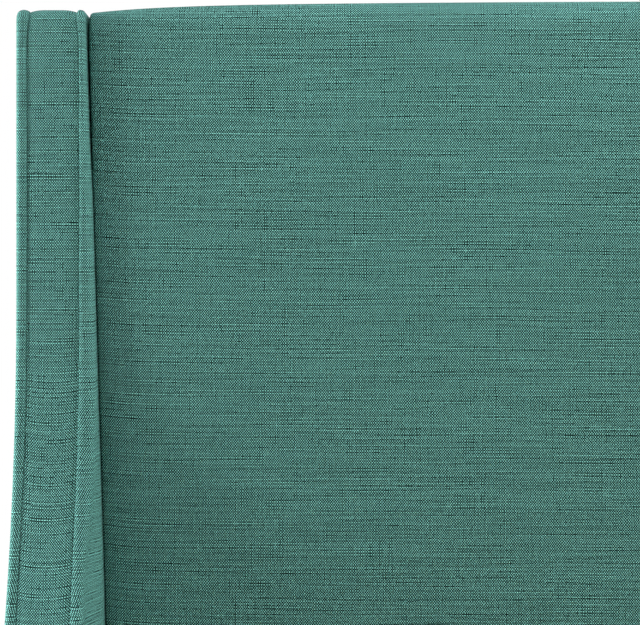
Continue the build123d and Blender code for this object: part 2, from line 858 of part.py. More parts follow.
def foot_bolt_hole(place):
    """The hole for a foot's bolt, half in the foot and half in the wood above."""
    x, y = place
    start = (x, y, foot_height - foot_bolt_length / 2 - screw_clearance)
    return rod(start, (0, 0, 1), foot_bolt_length + 2 * screw_clearance, bolt_radius + screw_clearance)


def wooden_foot(side, place):
    """A square foot that tapers down to its nail-on glide."""
    x, y = place
    top = Plane(origin=(x, y, foot_height)) * Rectangle(foot_top_side, foot_top_side)
    bottom = Plane(origin=(x, y, nail_glide_height)) * Rectangle(foot_bottom_side, foot_bottom_side)
    shape = loft([bottom, top])
    return mirrored(shape - foot_bolt_hole(place), side)


def foot_bolts():
    """The double-ended bolts that hold the four wooden feet."""
    pieces = []
    for place in (wing_foot_place(), foot_rail_foot_place()):
        for sign in (-1, 1):
            start = (sign * place[0], place[1], foot_height - foot_bolt_length / 2)
            pieces.append(rod(start, (0, 0, 1), foot_bolt_length, bolt_radius))
    return joined(pieces)


def nail_glides():
    """Nail-on plastic glides under the four feet and the two stiles."""
    stile_x = (stile_inner + core_inner) / 2
    places = [wing_foot_place(), foot_rail_foot_place(), (stile_x, wing_bolt_y)]
    pieces = []
    for x, y in places:
        for sign in (-1, 1):
            disc = rod((sign * x, y, 0), (0, 0, 1), nail_glide_height, nail_glide_radius)
            rim = disc.edges().filter_by(GeomType.CIRCLE).sort_by(Axis.Z)[0]
            pieces.append(chamfer(rim, nail_glide_chamfer))
    return joined(pieces)


# ---------------------------------------------------------------------------------------------
# Wing bolts, washers and T-nuts, and the frame's screws
# ---------------------------------------------------------------------------------------------

def on_both_sides(pieces):
    """The right-hand pieces and their mirror images."""
    return joined(pieces + [mirror(piece, about=Plane.YZ) for piece in pieces])


def wing_bolts():
    """The bolts from inside the stiles into the wings' T-nuts."""
    head_x = stile_inner - washer_thickness
    length = t_nut_seat_x + t_nut_flange - head_x
    pieces = []
    for y, z in wing_bolt_places():
        bolt = rod((head_x, y, z), (1, 0, 0), length, bolt_radius)
        pieces.append(bolt + rod((head_x, y, z), (-1, 0, 0), bolt_head_height, bolt_head_radius))
    return on_both_sides(pieces)


def wing_washers():
    """A flat washer under every wing bolt's head."""
    start_x = stile_inner - washer_thickness
    pieces = []
    for y, z in wing_bolt_places():
        disc = rod((start_x, y, z), (1, 0, 0), washer_thickness, washer_radius)
        hole = rod((start_x - overrun, y, z), (1, 0, 0), washer_thickness + 2 * overrun, bolt_hole_radius)
        pieces.append(disc - hole)
    return on_both_sides(pieces)


def wing_t_nuts():
    """The T-nuts in the wings' outer faces."""
    seat_x = t_nut_seat_x + t_nut_flange
    places = wing_bolt_places()
    return on_both_sides([t_nut((seat_x, y, z), (-1, 0, 0), bolt_radius + t_nut_thread_fit)
                          for y, z in places])


def wood_screws():
    """All wood screws: stiles to cross rails, ledgers to rail boards, end slats to ledgers."""
    runs = (
        (frame_screw_places(), frame_screw_length),
        (ledger_screw_places(), ledger_screw_length),
        (slat_screw_places(), slat_screw_length),
    )
    return on_both_sides([wood_screw(*place, length) for places, length in runs for place in places])


# ---------------------------------------------------------------------------------------------
# Build every piece
# ---------------------------------------------------------------------------------------------

os.makedirs("parts", exist_ok=True)

for rail_name, (rail_top, rail_height) in cross_rails().items():
    save(rail_name, cross_rail(rail_top, rail_height))
save("headboard_backing_board", backing_board())
save("headboard_pad", headboard_pad())
save("headboard_cover", headboard_cover())
save("headboard_back_cover", back_cover())

side_parts = {
    "headboard_stile": headboard_stile,
    "wing_core": wing_core,
    "wing_inner_pad": wing_inner_pad,
    "wing_inner_cover": wing_inner_cover,
    "wing_outer_pad": wing_outer_pad,
    "wing_outer_cover": wing_outer_cover,
    "wing_inner_roll": wing_inner_roll,
    "wing_outer_roll": wing_outer_roll,
    "wing_front_band": wing_front_band,
    "side_rail_board": side_rail_board,
    "side_rail_pad": side_rail_pad,
    "side_rail_cover": side_rail_cover,
}
for part_name, make in side_parts.items():
    for side_name, side_sign in SIDES.items():
        save(f"{side_name}_{part_name}", make(side_sign))

pair_parts = {
    "wing_posts": wing_post,
    "wing_front_pads": wing_front_pad,
    "slat_ledgers": slat_ledger,
}
for part_name, make in pair_parts.items():
    save(part_name, joined([make(side_sign) for side_sign in SIDES.values()]))

save("foot_rail_board", foot_rail_board())
save("foot_rail_pad", foot_rail_pad())
save("foot_rail_cover", foot_rail_cover())

plate_places = [(sign, y, inward) for sign in SIDES.values() for y, inward in ((y_wing, 1), (y_foot, -1))]
save("slot_plates", joined([slot_plate(*place) for place in plate_places]))
save("hook_plates", joined([hook_plate(*place) for place in plate_places]))

save("centre_beam", centre_beam())
save("beam_hangers", joined([beam_hanger(y_frame, -1), beam_hanger(y_foot, 1)]))
save("ledger_brackets", ledger_brackets())
save("slats", slats())
save("slat_straps", slat_straps())

save("centre_legs", joined([centre_leg(leg_y) for leg_y in leg_positions()]))
for number, leg_y in enumerate(leg_positions(), start=1):
    save(f"glide_pad_{number}", glide_pad(leg_y))
    save(f"glide_stud_{number}", glide_stud(leg_y))
save("leg_t_nuts", leg_t_nuts())

save("feet", joined([wooden_foot(sign, place) for sign in SIDES.values()
                     for place in (wing_foot_place(), foot_rail_foot_place())]))
save("nail_glides", nail_glides())
save("foot_bolts", foot_bolts())
save("leg_bolts", leg_bolts())
save("wing_bolts", wing_bolts())
save("wing_washers", wing_washers())
save("wing_t_nuts", wing_t_nuts())
save("wood_screws", wood_screws())
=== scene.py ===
# %% [markdown]
# # An upholstered wingback bed
#
# The bed is built from a fixed frame of timber and steel. This lesson dresses that frame: it pads
# and covers the headboard, its wings and the rails, hangs the dust cloth, finishes the bare parts
# and lights the bed in a plain studio. Lengths are in metres. X runs to the right, Y towards the
# headboard and Z up, and the floor is at Z = 0.

import math

import bmesh
import bpy
import numpy as np
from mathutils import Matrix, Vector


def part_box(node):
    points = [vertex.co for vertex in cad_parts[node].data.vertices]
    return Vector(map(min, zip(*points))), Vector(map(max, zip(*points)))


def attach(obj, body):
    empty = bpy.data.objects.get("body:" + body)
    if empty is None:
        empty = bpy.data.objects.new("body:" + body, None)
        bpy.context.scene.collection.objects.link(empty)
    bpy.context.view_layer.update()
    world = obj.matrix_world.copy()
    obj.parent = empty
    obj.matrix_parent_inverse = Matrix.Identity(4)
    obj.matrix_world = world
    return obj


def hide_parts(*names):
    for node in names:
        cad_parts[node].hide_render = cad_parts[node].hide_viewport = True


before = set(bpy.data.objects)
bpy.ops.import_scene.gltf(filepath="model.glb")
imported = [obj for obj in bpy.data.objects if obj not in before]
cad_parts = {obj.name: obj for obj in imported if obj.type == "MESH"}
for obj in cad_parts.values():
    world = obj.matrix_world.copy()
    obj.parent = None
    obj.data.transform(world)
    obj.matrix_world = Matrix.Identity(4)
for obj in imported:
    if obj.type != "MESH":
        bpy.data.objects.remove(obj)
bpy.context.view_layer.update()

# %% [markdown]
# ## Places to build on
#
# The padding has to land on the timber, so its places are read from the frame's own parts. Depths in
# the headboard are distances forward of the back of the bed, because its layers stack up from there.

# %% Places read from the frame
mm = 0.001

wing_box_low, wing_box_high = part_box("right_wing_front_band")
outside_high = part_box("right_wing_outer_cover")[1]
core_low, core_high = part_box("right_wing_core")
face_low, face_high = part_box("headboard_cover")
board_low, board_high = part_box("headboard_backing_board")
rail_low, rail_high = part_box("right_side_rail_cover")
foot_low, foot_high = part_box("foot_rail_cover")

back_y = outside_high.y
panel_front = back_y - face_low.y
board_front = back_y - board_low.y
frame_front = back_y - board_high.y
frame_back = back_y - face_high.y
frame_top = board_high.z
panel_bottom = face_low.z
panel_top = face_high.z

wing_top = wing_box_high.z
wing_bottom = wing_box_low.z
wing_front = back_y - wing_box_low.y
cloth_bulge = 1.1 * mm
wing_outside = outside_high.x + cloth_bulge
core_inside = core_low.x
bay_half = rail_low.x
rail_top = rail_high.z
print("headboard face", round(panel_front, 4), "m and wing front", round(wing_front, 4), "m from the back")

# %% [markdown]
# ## From numbers to a mesh
#
# Cloth over foam is a smooth skin, and the simplest way to draw one is a grid of points with a
# four-sided face in every gap. Each point also gets its place on the flat cloth, in metres, which
# becomes the UV map. The weave is drawn on that map, so the threads keep their real size and bend
# with the surface. Where two grids meet, their edges are merged into one closed mesh.

# %% Grids of points become one closed skin
def joined(*coordinates):
    """Arrays of coordinates, stretched to one shape, as one array of points."""
    return np.stack(np.broadcast_arrays(*coordinates), axis=-1)


def add_piece(name, mesh, material):
    """Put a mesh in the scene under a name, with one material."""
    mesh.materials.append(material)
    piece = bpy.data.objects.new(name, mesh)
    bpy.context.scene.collection.objects.link(piece)
    return piece


def grid_faces(rows, columns, first):
    """Corner numbers of the faces between neighbouring points of a grid that starts at number first."""
    number = first + np.arange(rows * columns).reshape(rows, columns)
    corners = [number[:-1, :-1], number[:-1, 1:], number[1:, 1:], number[1:, :-1]]
    return joined(*corners).reshape(-1, 4)


def travelled(points):
    """Distance travelled from row to row of a grid, added up from the first row."""
    steps = np.linalg.norm(np.diff(points, axis=0), axis=-1)
    return np.concatenate([np.zeros((1, points.shape[1])), np.cumsum(steps, axis=0)])


def skin(name, patches, material, merge=0.02 * mm):
    """One smooth closed mesh from patches, each a grid of points and the grid of their cloth places."""
    points = np.concatenate([p.reshape(-1, 3) for p, _ in patches])
    cloth = np.concatenate([c.reshape(-1, 2) for _, c in patches])
    faces, first = [], 0
    for p, _ in patches:
        faces.append(grid_faces(p.shape[0], p.shape[1], first))
        first += p.shape[0] * p.shape[1]
    faces = np.concatenate(faces)
    mesh = bpy.data.meshes.new(name)
    mesh.from_pydata(points.tolist(), [], faces.tolist())
    layer = mesh.uv_layers.new(name="cloth")
    layer.uv.foreach_set("vector", cloth[faces.ravel()].astype(np.float32).ravel())
    shell = bmesh.new()
    shell.from_mesh(mesh)
    bmesh.ops.remove_doubles(shell, verts=shell.verts, dist=merge)
    bmesh.ops.dissolve_degenerate(shell, dist=6 * merge, edges=shell.edges)
    bmesh.ops.recalc_face_normals(shell, faces=shell.faces)
    shell.to_mesh(mesh)
    open_edges = sum(1 for edge in shell.edges if len(edge.link_faces) != 2)
    shell.free()
    mesh.shade_smooth()
    print(f"{name}: {len(mesh.polygons)} faces, {open_edges} open edges")
    return add_piece(name, mesh, material)

# %% An ease and a gentle unevenness
def smooth(value):
    """0 below 0, 1 above 1, and an S-shaped ease between them: three squares less two cubes."""
    t = np.clip(value, 0, 1)
    return t * t * (3 - 2 * t)


def unevenness(across, along, seed, longest, waves=6):
    """A gentle random swell between about -1 and 1: sine waves in random directions, added up."""
    random = np.random.default_rng(seed)
    total = np.zeros(np.broadcast(across, along).shape)
    for _ in range(waves):
        length = longest * random.uniform(0.45, 1.0)
        angle, phase = random.uniform(0, 2 * math.pi, 2)
        travel = across * math.cos(angle) + along * math.sin(angle)
        total = total + np.sin(2 * math.pi * travel / length + phase)
    return total / math.sqrt(waves)

# %% [markdown]
# ## The linen
#
# The cover is a plain weave of thick, uneven yarn in a dusty green. A tiled swatch of it would repeat
# and blur, so the weave is worked out in the shader from the cloth places. Two crossed cosines give
# the checkerboard of a plain weave, and noise changes its contrast from knot to knot. Where noise
# favours one cosine, single threads show as rows or columns. Long thin noise makes each yarn a
# little lighter or darker than the next, and sparse streaks make slubs, the thick places that linen
# is known for. Each slub is lighter, partly as a painted highlight, and the yarn just below it gets
# a painted shadow. The exponential of the sum leaves narrow dark gaps between bright threads. The
# checkerboard also drives a bump, and a little sheen stands for the fuzz.

# %% Small helpers for shader nodes
class Shader:
    """A new node material, with short ways to add nodes and join them up."""

    def __init__(self, name, coordinates="UV"):
        self.material = bpy.data.materials.new(name)
        self.material.use_nodes = True
        self.tree = self.material.node_tree
        self.surface = self.tree.nodes["Principled BSDF"]
        place = self.tree.nodes.new("ShaderNodeTexCoord")
        self.place = place.outputs[coordinates]
        split = self.tree.nodes.new("ShaderNodeSeparateXYZ")
        self.tree.links.new(self.place, split.inputs[0])
        self.x, self.y, self.z = split.outputs

    def feed(self, socket, value):
        """Join a socket to an output, or set it to a number, a vector or a colour."""
        if isinstance(value, bpy.types.NodeSocket):
            self.tree.links.new(value, socket)
        elif isinstance(value, tuple) and len(value) == 3 and len(socket.default_value) == 4:
            socket.default_value = (*value, 1.0)
        else:
            socket.default_value = value

    def node(self, kind, inputs, output=0, **settings):
        """A new node with its settings, and inputs by number or name. Returns one of its outputs."""
        node = self.tree.nodes.new(kind)
        for name, value in settings.items():
            setattr(node, name, value)
        for key, value in inputs.items():
            self.feed(node.inputs[key], value)
        return node.outputs[output]

    def math(self, operation, first, second=0.0, third=0.0):
        """One step of arithmetic."""
        return self.node("ShaderNodeMath", {0: first, 1: second, 2: third}, operation=operation)

    def times(self, first, second):
        """A product."""
        return self.math("MULTIPLY", first, second)

    def scaled(self, value, factor, plus):
        """A value times a factor, plus another value."""
        return self.math("MULTIPLY_ADD", value, factor, plus)

    def centred(self, value, factor, plus):
        """How far noise is from its middle, times a factor, plus another value."""
        return self.scaled(self.math("SUBTRACT", value, 0.5), factor, plus)

    def vector(self, x, y, z=0.0):
        """Three numbers as one vector."""
        return self.node("ShaderNodeCombineXYZ", {0: x, 1: y, 2: z})

    def noise(self, place, scale, detail):
        """Smooth noise about 0.5 at a place."""
        inputs = {"Vector": place, "Scale": scale, "Detail": detail, "Roughness": 0.5}
        return self.node("ShaderNodeTexNoise", inputs, "Fac")

    def ramp(self, value, low, high, to_low=0.0, to_high=1.0):
        """Stretch a value's range from low..high to to_low..to_high, and clip it there."""
        return self.node("ShaderNodeMapRange", dict(enumerate((value, low, high, to_low, to_high))))

    def mix(self, amount, first, second):
        """Blend two colours."""
        return self.node("ShaderNodeMix", {0: amount, 6: first, 7: second}, 2, data_type="RGBA")

    def brighten(self, colour, factor):
        """A colour times a factor."""
        return self.node("ShaderNodeVectorMath", {0: colour, "Scale": factor}, operation="SCALE")

    def bump(self, height, distance, strength):
        """Tilt the surface by a height, where distance is a full step's height, and return the material."""
        inputs = {"Height": height, "Distance": distance, "Strength": strength}
        self.feed(self.surface.inputs["Normal"], self.node("ShaderNodeBump", inputs))
        return self.material

    def set(self, **values):
        """Set the main shader's inputs by name, with _ for a space."""
        for name, value in values.items():
            self.feed(self.surface.inputs[name.replace("_", " ")], value)

# %% The linen itself
warp_pitch = 1.20 * mm
weft_pitch = 1.46 * mm
full_light = 3.6
linen_shade = (0.034, 0.211, 0.181)
linen_light = (0.095, 0.241, 0.218)


def yarn_noise(s, place, run, number, seed):
    """Noise that keeps to one yarn: it changes slowly along the run and jumps from yarn to yarn."""
    return s.noise(s.vector(s.math("DIVIDE", place, run), s.times(number, 7.31), seed), 1.0, 1.0)


def linen(name, seed=0.0, painted_light=1.0):
    """Plain-woven slubby linen, drawn on the cloth places in metres."""
    s = Shader(name)

    def stretched(x_scale, y_scale, shift):
        """Noise about 0.5 whose patches have their own size each way."""
        return s.noise(s.vector(s.times(s.x, x_scale), s.times(s.y, y_scale), seed + shift), 1.0, 1.0)

    wander = s.noise(s.vector(s.x, s.y, seed), 70.0, 2.0)
    across = s.centred(wander, 2.2 * mm, s.x)
    along = s.centred(stretched(6.0, 60.0, 0.0), 2.0 * mm, s.y)
    warp = s.math("DIVIDE", across, warp_pitch)
    weft = s.math("DIVIDE", along, weft_pitch)
    warp_number = s.math("ROUND", warp)
    weft_number = s.math("ROUND", weft)
    warp_wave = s.math("COSINE", s.times(warp, math.pi))
    weft_wave = s.math("COSINE", s.times(weft, math.pi))
    crossing = s.times(warp_wave, weft_wave)
    knots = s.noise(s.vector(warp, weft, seed), 1.6, 0.0)
    tightness = s.ramp(s.noise(s.vector(s.x, s.y, seed + 1.0), 110.0, 1.0), 0.3, 0.7, 0.8, 1.2)
    warp_yarn = yarn_noise(s, along, 35 * mm, warp_number, seed + 2.0)
    weft_yarn = yarn_noise(s, across, 20 * mm, weft_number, seed + 5.0)
    weft_run = yarn_noise(s, across, 150 * mm, weft_number, seed + 6.0)
    rows = s.math("SUBTRACT", stretched(9.0, 210.0, 10.0), 0.5)
    columns = s.math("SUBTRACT", stretched(200.0, 12.0, 12.0), 0.5)
    next_weft = s.math("ADD", weft_number, 1.0)
    # slubs: a lighter streak on the slub yarn, partly painted highlight, and a painted shadow on the yarn
    # just below it
    slub_and_painted_highlight, painted_shadow_under_slub = (
        s.ramp(yarn_noise(s, across, 60 * mm, number, seed + 8.0), 0.60, 0.68)
        for number in (weft_number, next_weft)
    )
    blotch = s.noise(s.vector(s.x, s.y, seed + 4.0), 9.0, 3.0)

    # a wider swing would also be a lighter cloth on the whole, so a share of it is taken off again
    swing = s.times(tightness, s.centred(knots, 9.0, 5.1))
    power = s.scaled(swing, -0.22, s.times(crossing, swing))
    power = s.scaled(weft_wave, s.times(rows, 12.0), power)
    power = s.scaled(s.times(warp_wave, columns), 7.0, power)
    for amount, streak in ((0.3, warp_yarn), (0.3, weft_yarn), (0.5, weft_run), (0.15, blotch)):
        power = s.centred(streak, amount, power)
    # each slub lightens its yarn, partly as painted highlight, and the painted shadow darkens the yarn below
    # it
    power = s.scaled(s.math("SUBTRACT", slub_and_painted_highlight, painted_shadow_under_slub), 0.25, power)
    # the last factor is painted light: a copy of this linen that should look more brightly lit is made
    # lighter by it
    light = s.times(s.math("MINIMUM", s.math("EXPONENT", power), full_light), 0.955 * painted_light)

    tone = s.mix(s.ramp(power, -2.6, 0.9), linen_shade, linen_light)
    s.set(Base_Color=s.brighten(tone, light), Roughness=0.9, Specular_IOR_Level=0.05)
    s.set(Sheen_Weight=0.02, Sheen_Roughness=0.45, Sheen_Tint=(0.5, 0.9, 0.84, 1.0))
    return s.bump(crossing, 0.25 * mm, 0.6)


headboard_linen = linen("headboard_linen", 0.0)
# painted light: the wings are the same linen, made 6% lighter for the extra light that falls on their fronts
wing_linen = linen("wing_linen", 5.3, 1.06)
rail_linen = linen("rail_linen", 11.9)

# %% [markdown]
# ## The headboard's front
#
# The front of the headboard is one big pad: foam on a board, with cloth pulled over it, over the top
# of the frame and down to the back. The top edge is softly crowned, its front is round, and at the
# sides the foam sinks back and dives in beside the wings. So the skin is a section, drawn once from
# the bottom up and over to the back, that is carried across the width while its top follows the crown.

# %% The headboard's width and its crown
wing_flare = 18 * mm
flare_height = wing_top - 616 * mm
lean_out = 0.4 * mm
top_gap = 0.8 * mm
lap = 0.2 * mm


def flared(z):
    """0 at the height where the wings start to lean out, and 1 at their top."""
    return np.clip((z - flare_height) / (wing_top - flare_height), 0, 1)


def wing_inner_face(z):
    """Half of the space between the wings at a height."""
    return bay_half + wing_flare * flared(z)


def side_of_panel(z):
    """Half of the headboard's width at a height: upright, then leaning out to the top of the wings."""
    return wing_inner_face(z) - lean_out - top_gap * smooth((z - frame_top) / (14 * mm))


def crown(x):
    """Height of the headboard's top across the width.

    A low power of the distance from the middle gives a long bow, and a high one drops the corners.
    """
    share = np.abs(x) / (bay_half + wing_flare)
    return panel_top - 5.5 * mm * share**2.4 - 6.5 * mm * share**12


print("headboard", round(2 * side_of_panel(panel_bottom), 3), "m wide at its bottom and",
      round(2 * side_of_panel(panel_top), 3), "m at its top")

# %% The headboard's section
def arc_points(count):
    """Cosine and sine of even steps through a quarter turn, one step in each row."""
    angle = np.linspace(0, math.pi / 2, count)[:, None]
    return np.cos(angle), np.sin(angle)


def section(top):
    """Depth, height and outward direction along the section, for each column's own top height.

    The parts in order: bottom, bottom round, front, top round, top, back round and back. A round is
    a quarter circle: its centre, plus its radius times the cosine and the sine of even steps.
    """
    low_round, top_round, back_round = 12 * mm, 24 * mm, 10 * mm
    cos, sin = arc_points(9)
    cos_top, sin_top = arc_points(15)
    flat = np.linspace(0, 1, 6)[:, None]
    rise = np.linspace(0, 1, 110)[:, None]
    low_turn, top_turn, back_turn = panel_front - low_round, panel_front - top_round, frame_back + back_round
    start = panel_bottom + low_round
    parts = [
        (board_front + flat * (low_turn - board_front), panel_bottom, 0.0, -1.0),
        (low_turn + low_round * sin, start - low_round * cos, sin, -cos),
        (panel_front, start + rise * (top - top_round - start), 1.0, 0.0),
        (top_turn + top_round * cos_top, top - top_round + top_round * sin_top, cos_top, sin_top),
        (top_turn + flat * (back_turn - panel_front + top_round), top, 0.0, 1.0),
        (back_turn - back_round * sin, top - back_round + back_round * cos, -sin, cos),
        (frame_back, top - back_round + flat * (frame_top + lap - top + back_round), -1.0, 0.0),
    ]
    return np.concatenate([np.stack(np.broadcast_arrays(*part, top[None, :])[:4]) for part in parts], axis=1)

# %% The headboard's pad
def panel_columns():
    """Places across the width from -1 to 1, close together at the sides where the foam turns."""
    edge = 1 - np.concatenate([np.linspace(0, 0.016, 13), np.linspace(0.021, 0.10, 14)])
    middle = np.linspace(-0.89, 0.89, 120)
    return np.concatenate([-edge, middle, edge[::-1]])


def build_panel():
    """The headboard's pad: the section across the width, sunk at the sides, and its hidden lining."""
    share = panel_columns()
    top = crown(share * (bay_half + wing_flare))
    depth, height, out_depth, out_height = section(top)
    half = side_of_panel(height)
    inwards = half * (1 - np.abs(share))[None, :]
    front = np.clip(out_depth, 0, 1)
    upper, corner = smooth((height - frame_top + 0.18) / 0.15), smooth((height - frame_top + 0.02) / 0.05)
    # at its sides the cloth dives in on a quarter circle, wider towards the top
    turn = (1.2 + 2.0 * upper + (0.6 + 1.6 * front) * corner) * mm
    dive = turn - np.sqrt(np.maximum(turn**2 - np.maximum(turn - inwards, 0) ** 2, 0))
    # beside the wings the foam sinks: three exponentials, which fade over 12, 60 and 30 mm
    lower = smooth((panel_top - 0.06 - height) / 0.30)
    sink = (
        (6.5 + 1.0 * lower) * mm * np.exp(-inwards / (12 * mm))
        + 3.5 * mm * lower * np.exp(-inwards / (60 * mm))
        + (2.0 - 0.4 * lower) * mm * np.exp(-inwards / (30 * mm))
    )
    drop = dive + sink * front
    swell = 0.7 * mm * unevenness(share[None, :] * half, height, 4, 0.5) * front
    depth = depth - out_depth * (drop - swell)
    height = height - out_height * dive
    x = share[None, :] * half
    skin_points = joined(x, back_y - depth, height)
    cloth = joined(x, panel_bottom + travelled(joined(depth, height)))

    # the lining is the same grid, held to the board's front and the frame's top. It meets the skin at
    # the section's two ends, and strips between them close the sides
    lining_depth = np.minimum(depth, board_front)
    lining_height = np.clip(height, panel_bottom, frame_top + lap)
    lining_depth[0], lining_height[0] = depth[0], height[0]
    lining_depth[-1], lining_height[-1] = depth[-1], height[-1]
    lining_x = share[None, :] * side_of_panel(lining_height)
    lining_x[0], lining_x[-1] = x[0], x[-1]
    lining = joined(lining_x, back_y - lining_depth, lining_height)

    patches = [(skin_points, cloth), (lining, joined(lining_x, lining_height))]
    for end in (0, -1):
        side_points = np.stack([skin_points[:, end], lining[:, end]], axis=1)
        patches.append((side_points, side_points[..., 1:3]))
    return skin("headboard_upholstery", patches, headboard_linen)


panel = build_panel()
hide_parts("headboard_cover", "headboard_pad")
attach(panel, "bed_frame")

# %% [markdown]
# ## A padded slab with any outline
#
# The wings and the rails are alike: a board with an outline, foam on both faces, and cloth that rolls
# over the edge. So one recipe serves them all. A ring of stations runs round the outline, and it can
# be drawn again at any distance inside. The edge is a stack of such rings, each a little further
# across the thickness, and each face is rings that shrink to a line in its middle.

# %% Rings round an outline
def stations(long_edge, corner, high_edge, low_edge):
    """Edge number from 0 to 7 and the share along it, for each station round a closed outline.

    Edges 0 and 4 are the long front and back, 2 and 6 the high and low ends, and the odd ones corners.
    """
    counts = (long_edge, corner, high_edge, corner, long_edge, corner, low_edge, corner)
    edge = np.repeat(np.arange(8), counts)
    share = np.concatenate([np.arange(count) / count for count in counts])
    return np.append(edge, 0), np.append(share, 0.0)


class Outline:
    """A closed outline in a plane (a, b) whose front edge is a curve and whose other edges are straight."""

    def __init__(self, around, front, back, low, high, low_corner, high_corner, spine, spine_ends):
        self.edge, self.share = around
        self.front, self.back, self.low, self.high = front, back, low, high
        self.low_corner, self.high_corner = low_corner, high_corner
        self.spine_at, self.spine_ends = spine, spine_ends

    def ring(self, inset):
        """Points (a, b) of the outline moved inwards: straight edges shift, corners keep their centres."""
        t, edge = self.share, self.edge
        low = self.low + np.maximum(self.low_corner, inset)
        high = self.high - np.maximum(self.high_corner, inset)
        low_round = np.maximum(self.low_corner - inset, 0)
        high_round = np.maximum(self.high_corner - inset, 0)
        up, down = low + t * (high - low), high + t * (low - high)
        back = self.back + inset
        front_high = self.front(high, inset) - high_round
        front_low = self.front(low, inset) - low_round
        back_high, back_low = back + high_round, back + low_round
        cos, sin = np.cos(t * math.pi / 2), np.sin(t * math.pi / 2)
        on = [edge == number for number in range(8)]
        zero = 0 * (t + inset)
        a, b = zip(
            (self.front(up, inset) + zero, up),
            (front_high + high_round * cos, high + high_round * sin),
            (front_high + t * (back_high - front_high), self.high - inset + zero),
            (back_high - high_round * sin, high + high_round * cos),
            (back + zero, down),
            (back_low - low_round * cos, low - low_round * sin),
            (back_low + t * (front_low - back_low), self.low + inset + zero),
            (front_low + low_round * sin, low - low_round * cos),
        )
        return joined(np.select(on, a), np.select(on, b))

    def spine(self):
        """The line in the middle of the faces, as one point for each station."""
        b = self.ring(0.0)[:, 1]
        b = np.clip(b, self.low + self.spine_ends, self.high - self.spine_ends)
        return joined(self.spine_at, b)

# %% Faces inside an outline, and cloth laid flat
def face_rings(outline, inset, shares):
    """Rings that shrink from an inset ring to the spine, and how far each is from the outline."""
    start, spine = outline.ring(inset), outline.spine()
    share = np.asarray(shares)[:, None, None]
    points = start + share * (spine - start)
    reach = inset + np.linalg.norm(points - start, axis=-1)
    return points, reach


def laid_flat(outline, rings, points, face_rows):
    """Rings on the flat cloth: those of the face stay, and the edge after them unrolls straight outwards."""
    outward = outline.ring(0.0) - outline.ring(1 * mm)
    outward = outward / np.maximum(np.linalg.norm(outward, axis=-1, keepdims=True), 1e-9)
    flat = rings.copy()
    flat[face_rows - 1:] = rings[face_rows - 1] + outward * travelled(points[face_rows - 1:])[..., None]
    return flat

# %% [markdown]
# ## The wings
#
# A wing is a board, padded on both sides, and its edge is closed by a band of the same cloth. At the
# seams with the two sides the cloth is pulled in, so the edge reads as three soft rolls with dark
# lines between them. In side view the wing runs straight down from the top, sweeps forward in a long
# arc, and turns straight down again just above the rail. The left wing mirrors the right one, apart
# from its own small unevenness.

# %% The wing's side view
wing_projection = 8 * mm
sweep_radius = 750 * mm
sweep_angle = math.radians(30)
knee_radius = 160 * mm
knee_rise = 8 * mm
wing_top_front = panel_front + wing_projection
wing_reach = wing_front - wing_top_front
knee_z = rail_top + knee_rise
both_radii = sweep_radius + knee_radius
sweep_z = knee_z + (both_radii - (both_radii - wing_reach) * math.cos(sweep_angle)) / math.sin(sweep_angle)


def wing_edge(z, inset):
    """Depth of the wing's front edge at a height: upright, sweep arc, straight, knee arc, upright.

    On an arc, the depth is its centre's, less or plus the root of the radius squared minus the height
    from the centre squared. An inset makes the sweep wider and the knee tighter by as much.
    """
    sweep, knee = sweep_radius + inset, knee_radius - inset
    sweep_end = sweep_z - sweep * math.sin(sweep_angle)
    knee_end = knee_z + knee * math.sin(sweep_angle)
    above, below = np.clip(sweep_z - z, 0, sweep), np.clip(z - knee_z, 0, knee)
    on_sweep = wing_top_front + sweep_radius - np.sqrt(sweep**2 - above**2)
    on_knee = wing_front - knee_radius + np.sqrt(knee**2 - below**2)
    slope_start = wing_top_front + sweep_radius - sweep * math.cos(sweep_angle)
    on_slope = slope_start + (sweep_end - z) * math.tan(sweep_angle)
    return np.where(z > sweep_end, on_sweep, np.where(z > knee_end, on_slope, on_knee))


underlap = 0.8 * mm
wing_outline = Outline(
    stations(long_edge=230, corner=8, high_edge=14, low_edge=44),
    wing_edge, 0.0, wing_bottom - underlap, wing_top,
    low_corner=5 * mm, high_corner=14 * mm, spine=62 * mm, spine_ends=50 * mm,
)
print("wing sweeps from", round(sweep_z, 3), "m down to", round(knee_z, 3), "m")

# %% The wing's seams and padding
seam_depth = 2.5 * mm
outer_roll = 4.5 * mm
notch_clearance = 0.4 * mm
deeper_groove, bow_height = 1.0, 1.12


def timber_notch(points):
    """1 inside the space that the headboard's upright takes behind the wing's padding, 0 well clear of it."""
    beside = 1 - smooth((points[..., 0] - frame_front - notch_clearance) / (7 * mm))
    below = 1 - smooth((points[..., 1] - frame_top - notch_clearance) / (7 * mm))
    return beside * below


def padded_face(z):
    """Where the wing's inner padding ends: on the panel's side, with a little air between near the top."""
    return wing_inner_face(z) + 1.3 * mm * smooth((z - wing_top + 0.20) / 0.08)

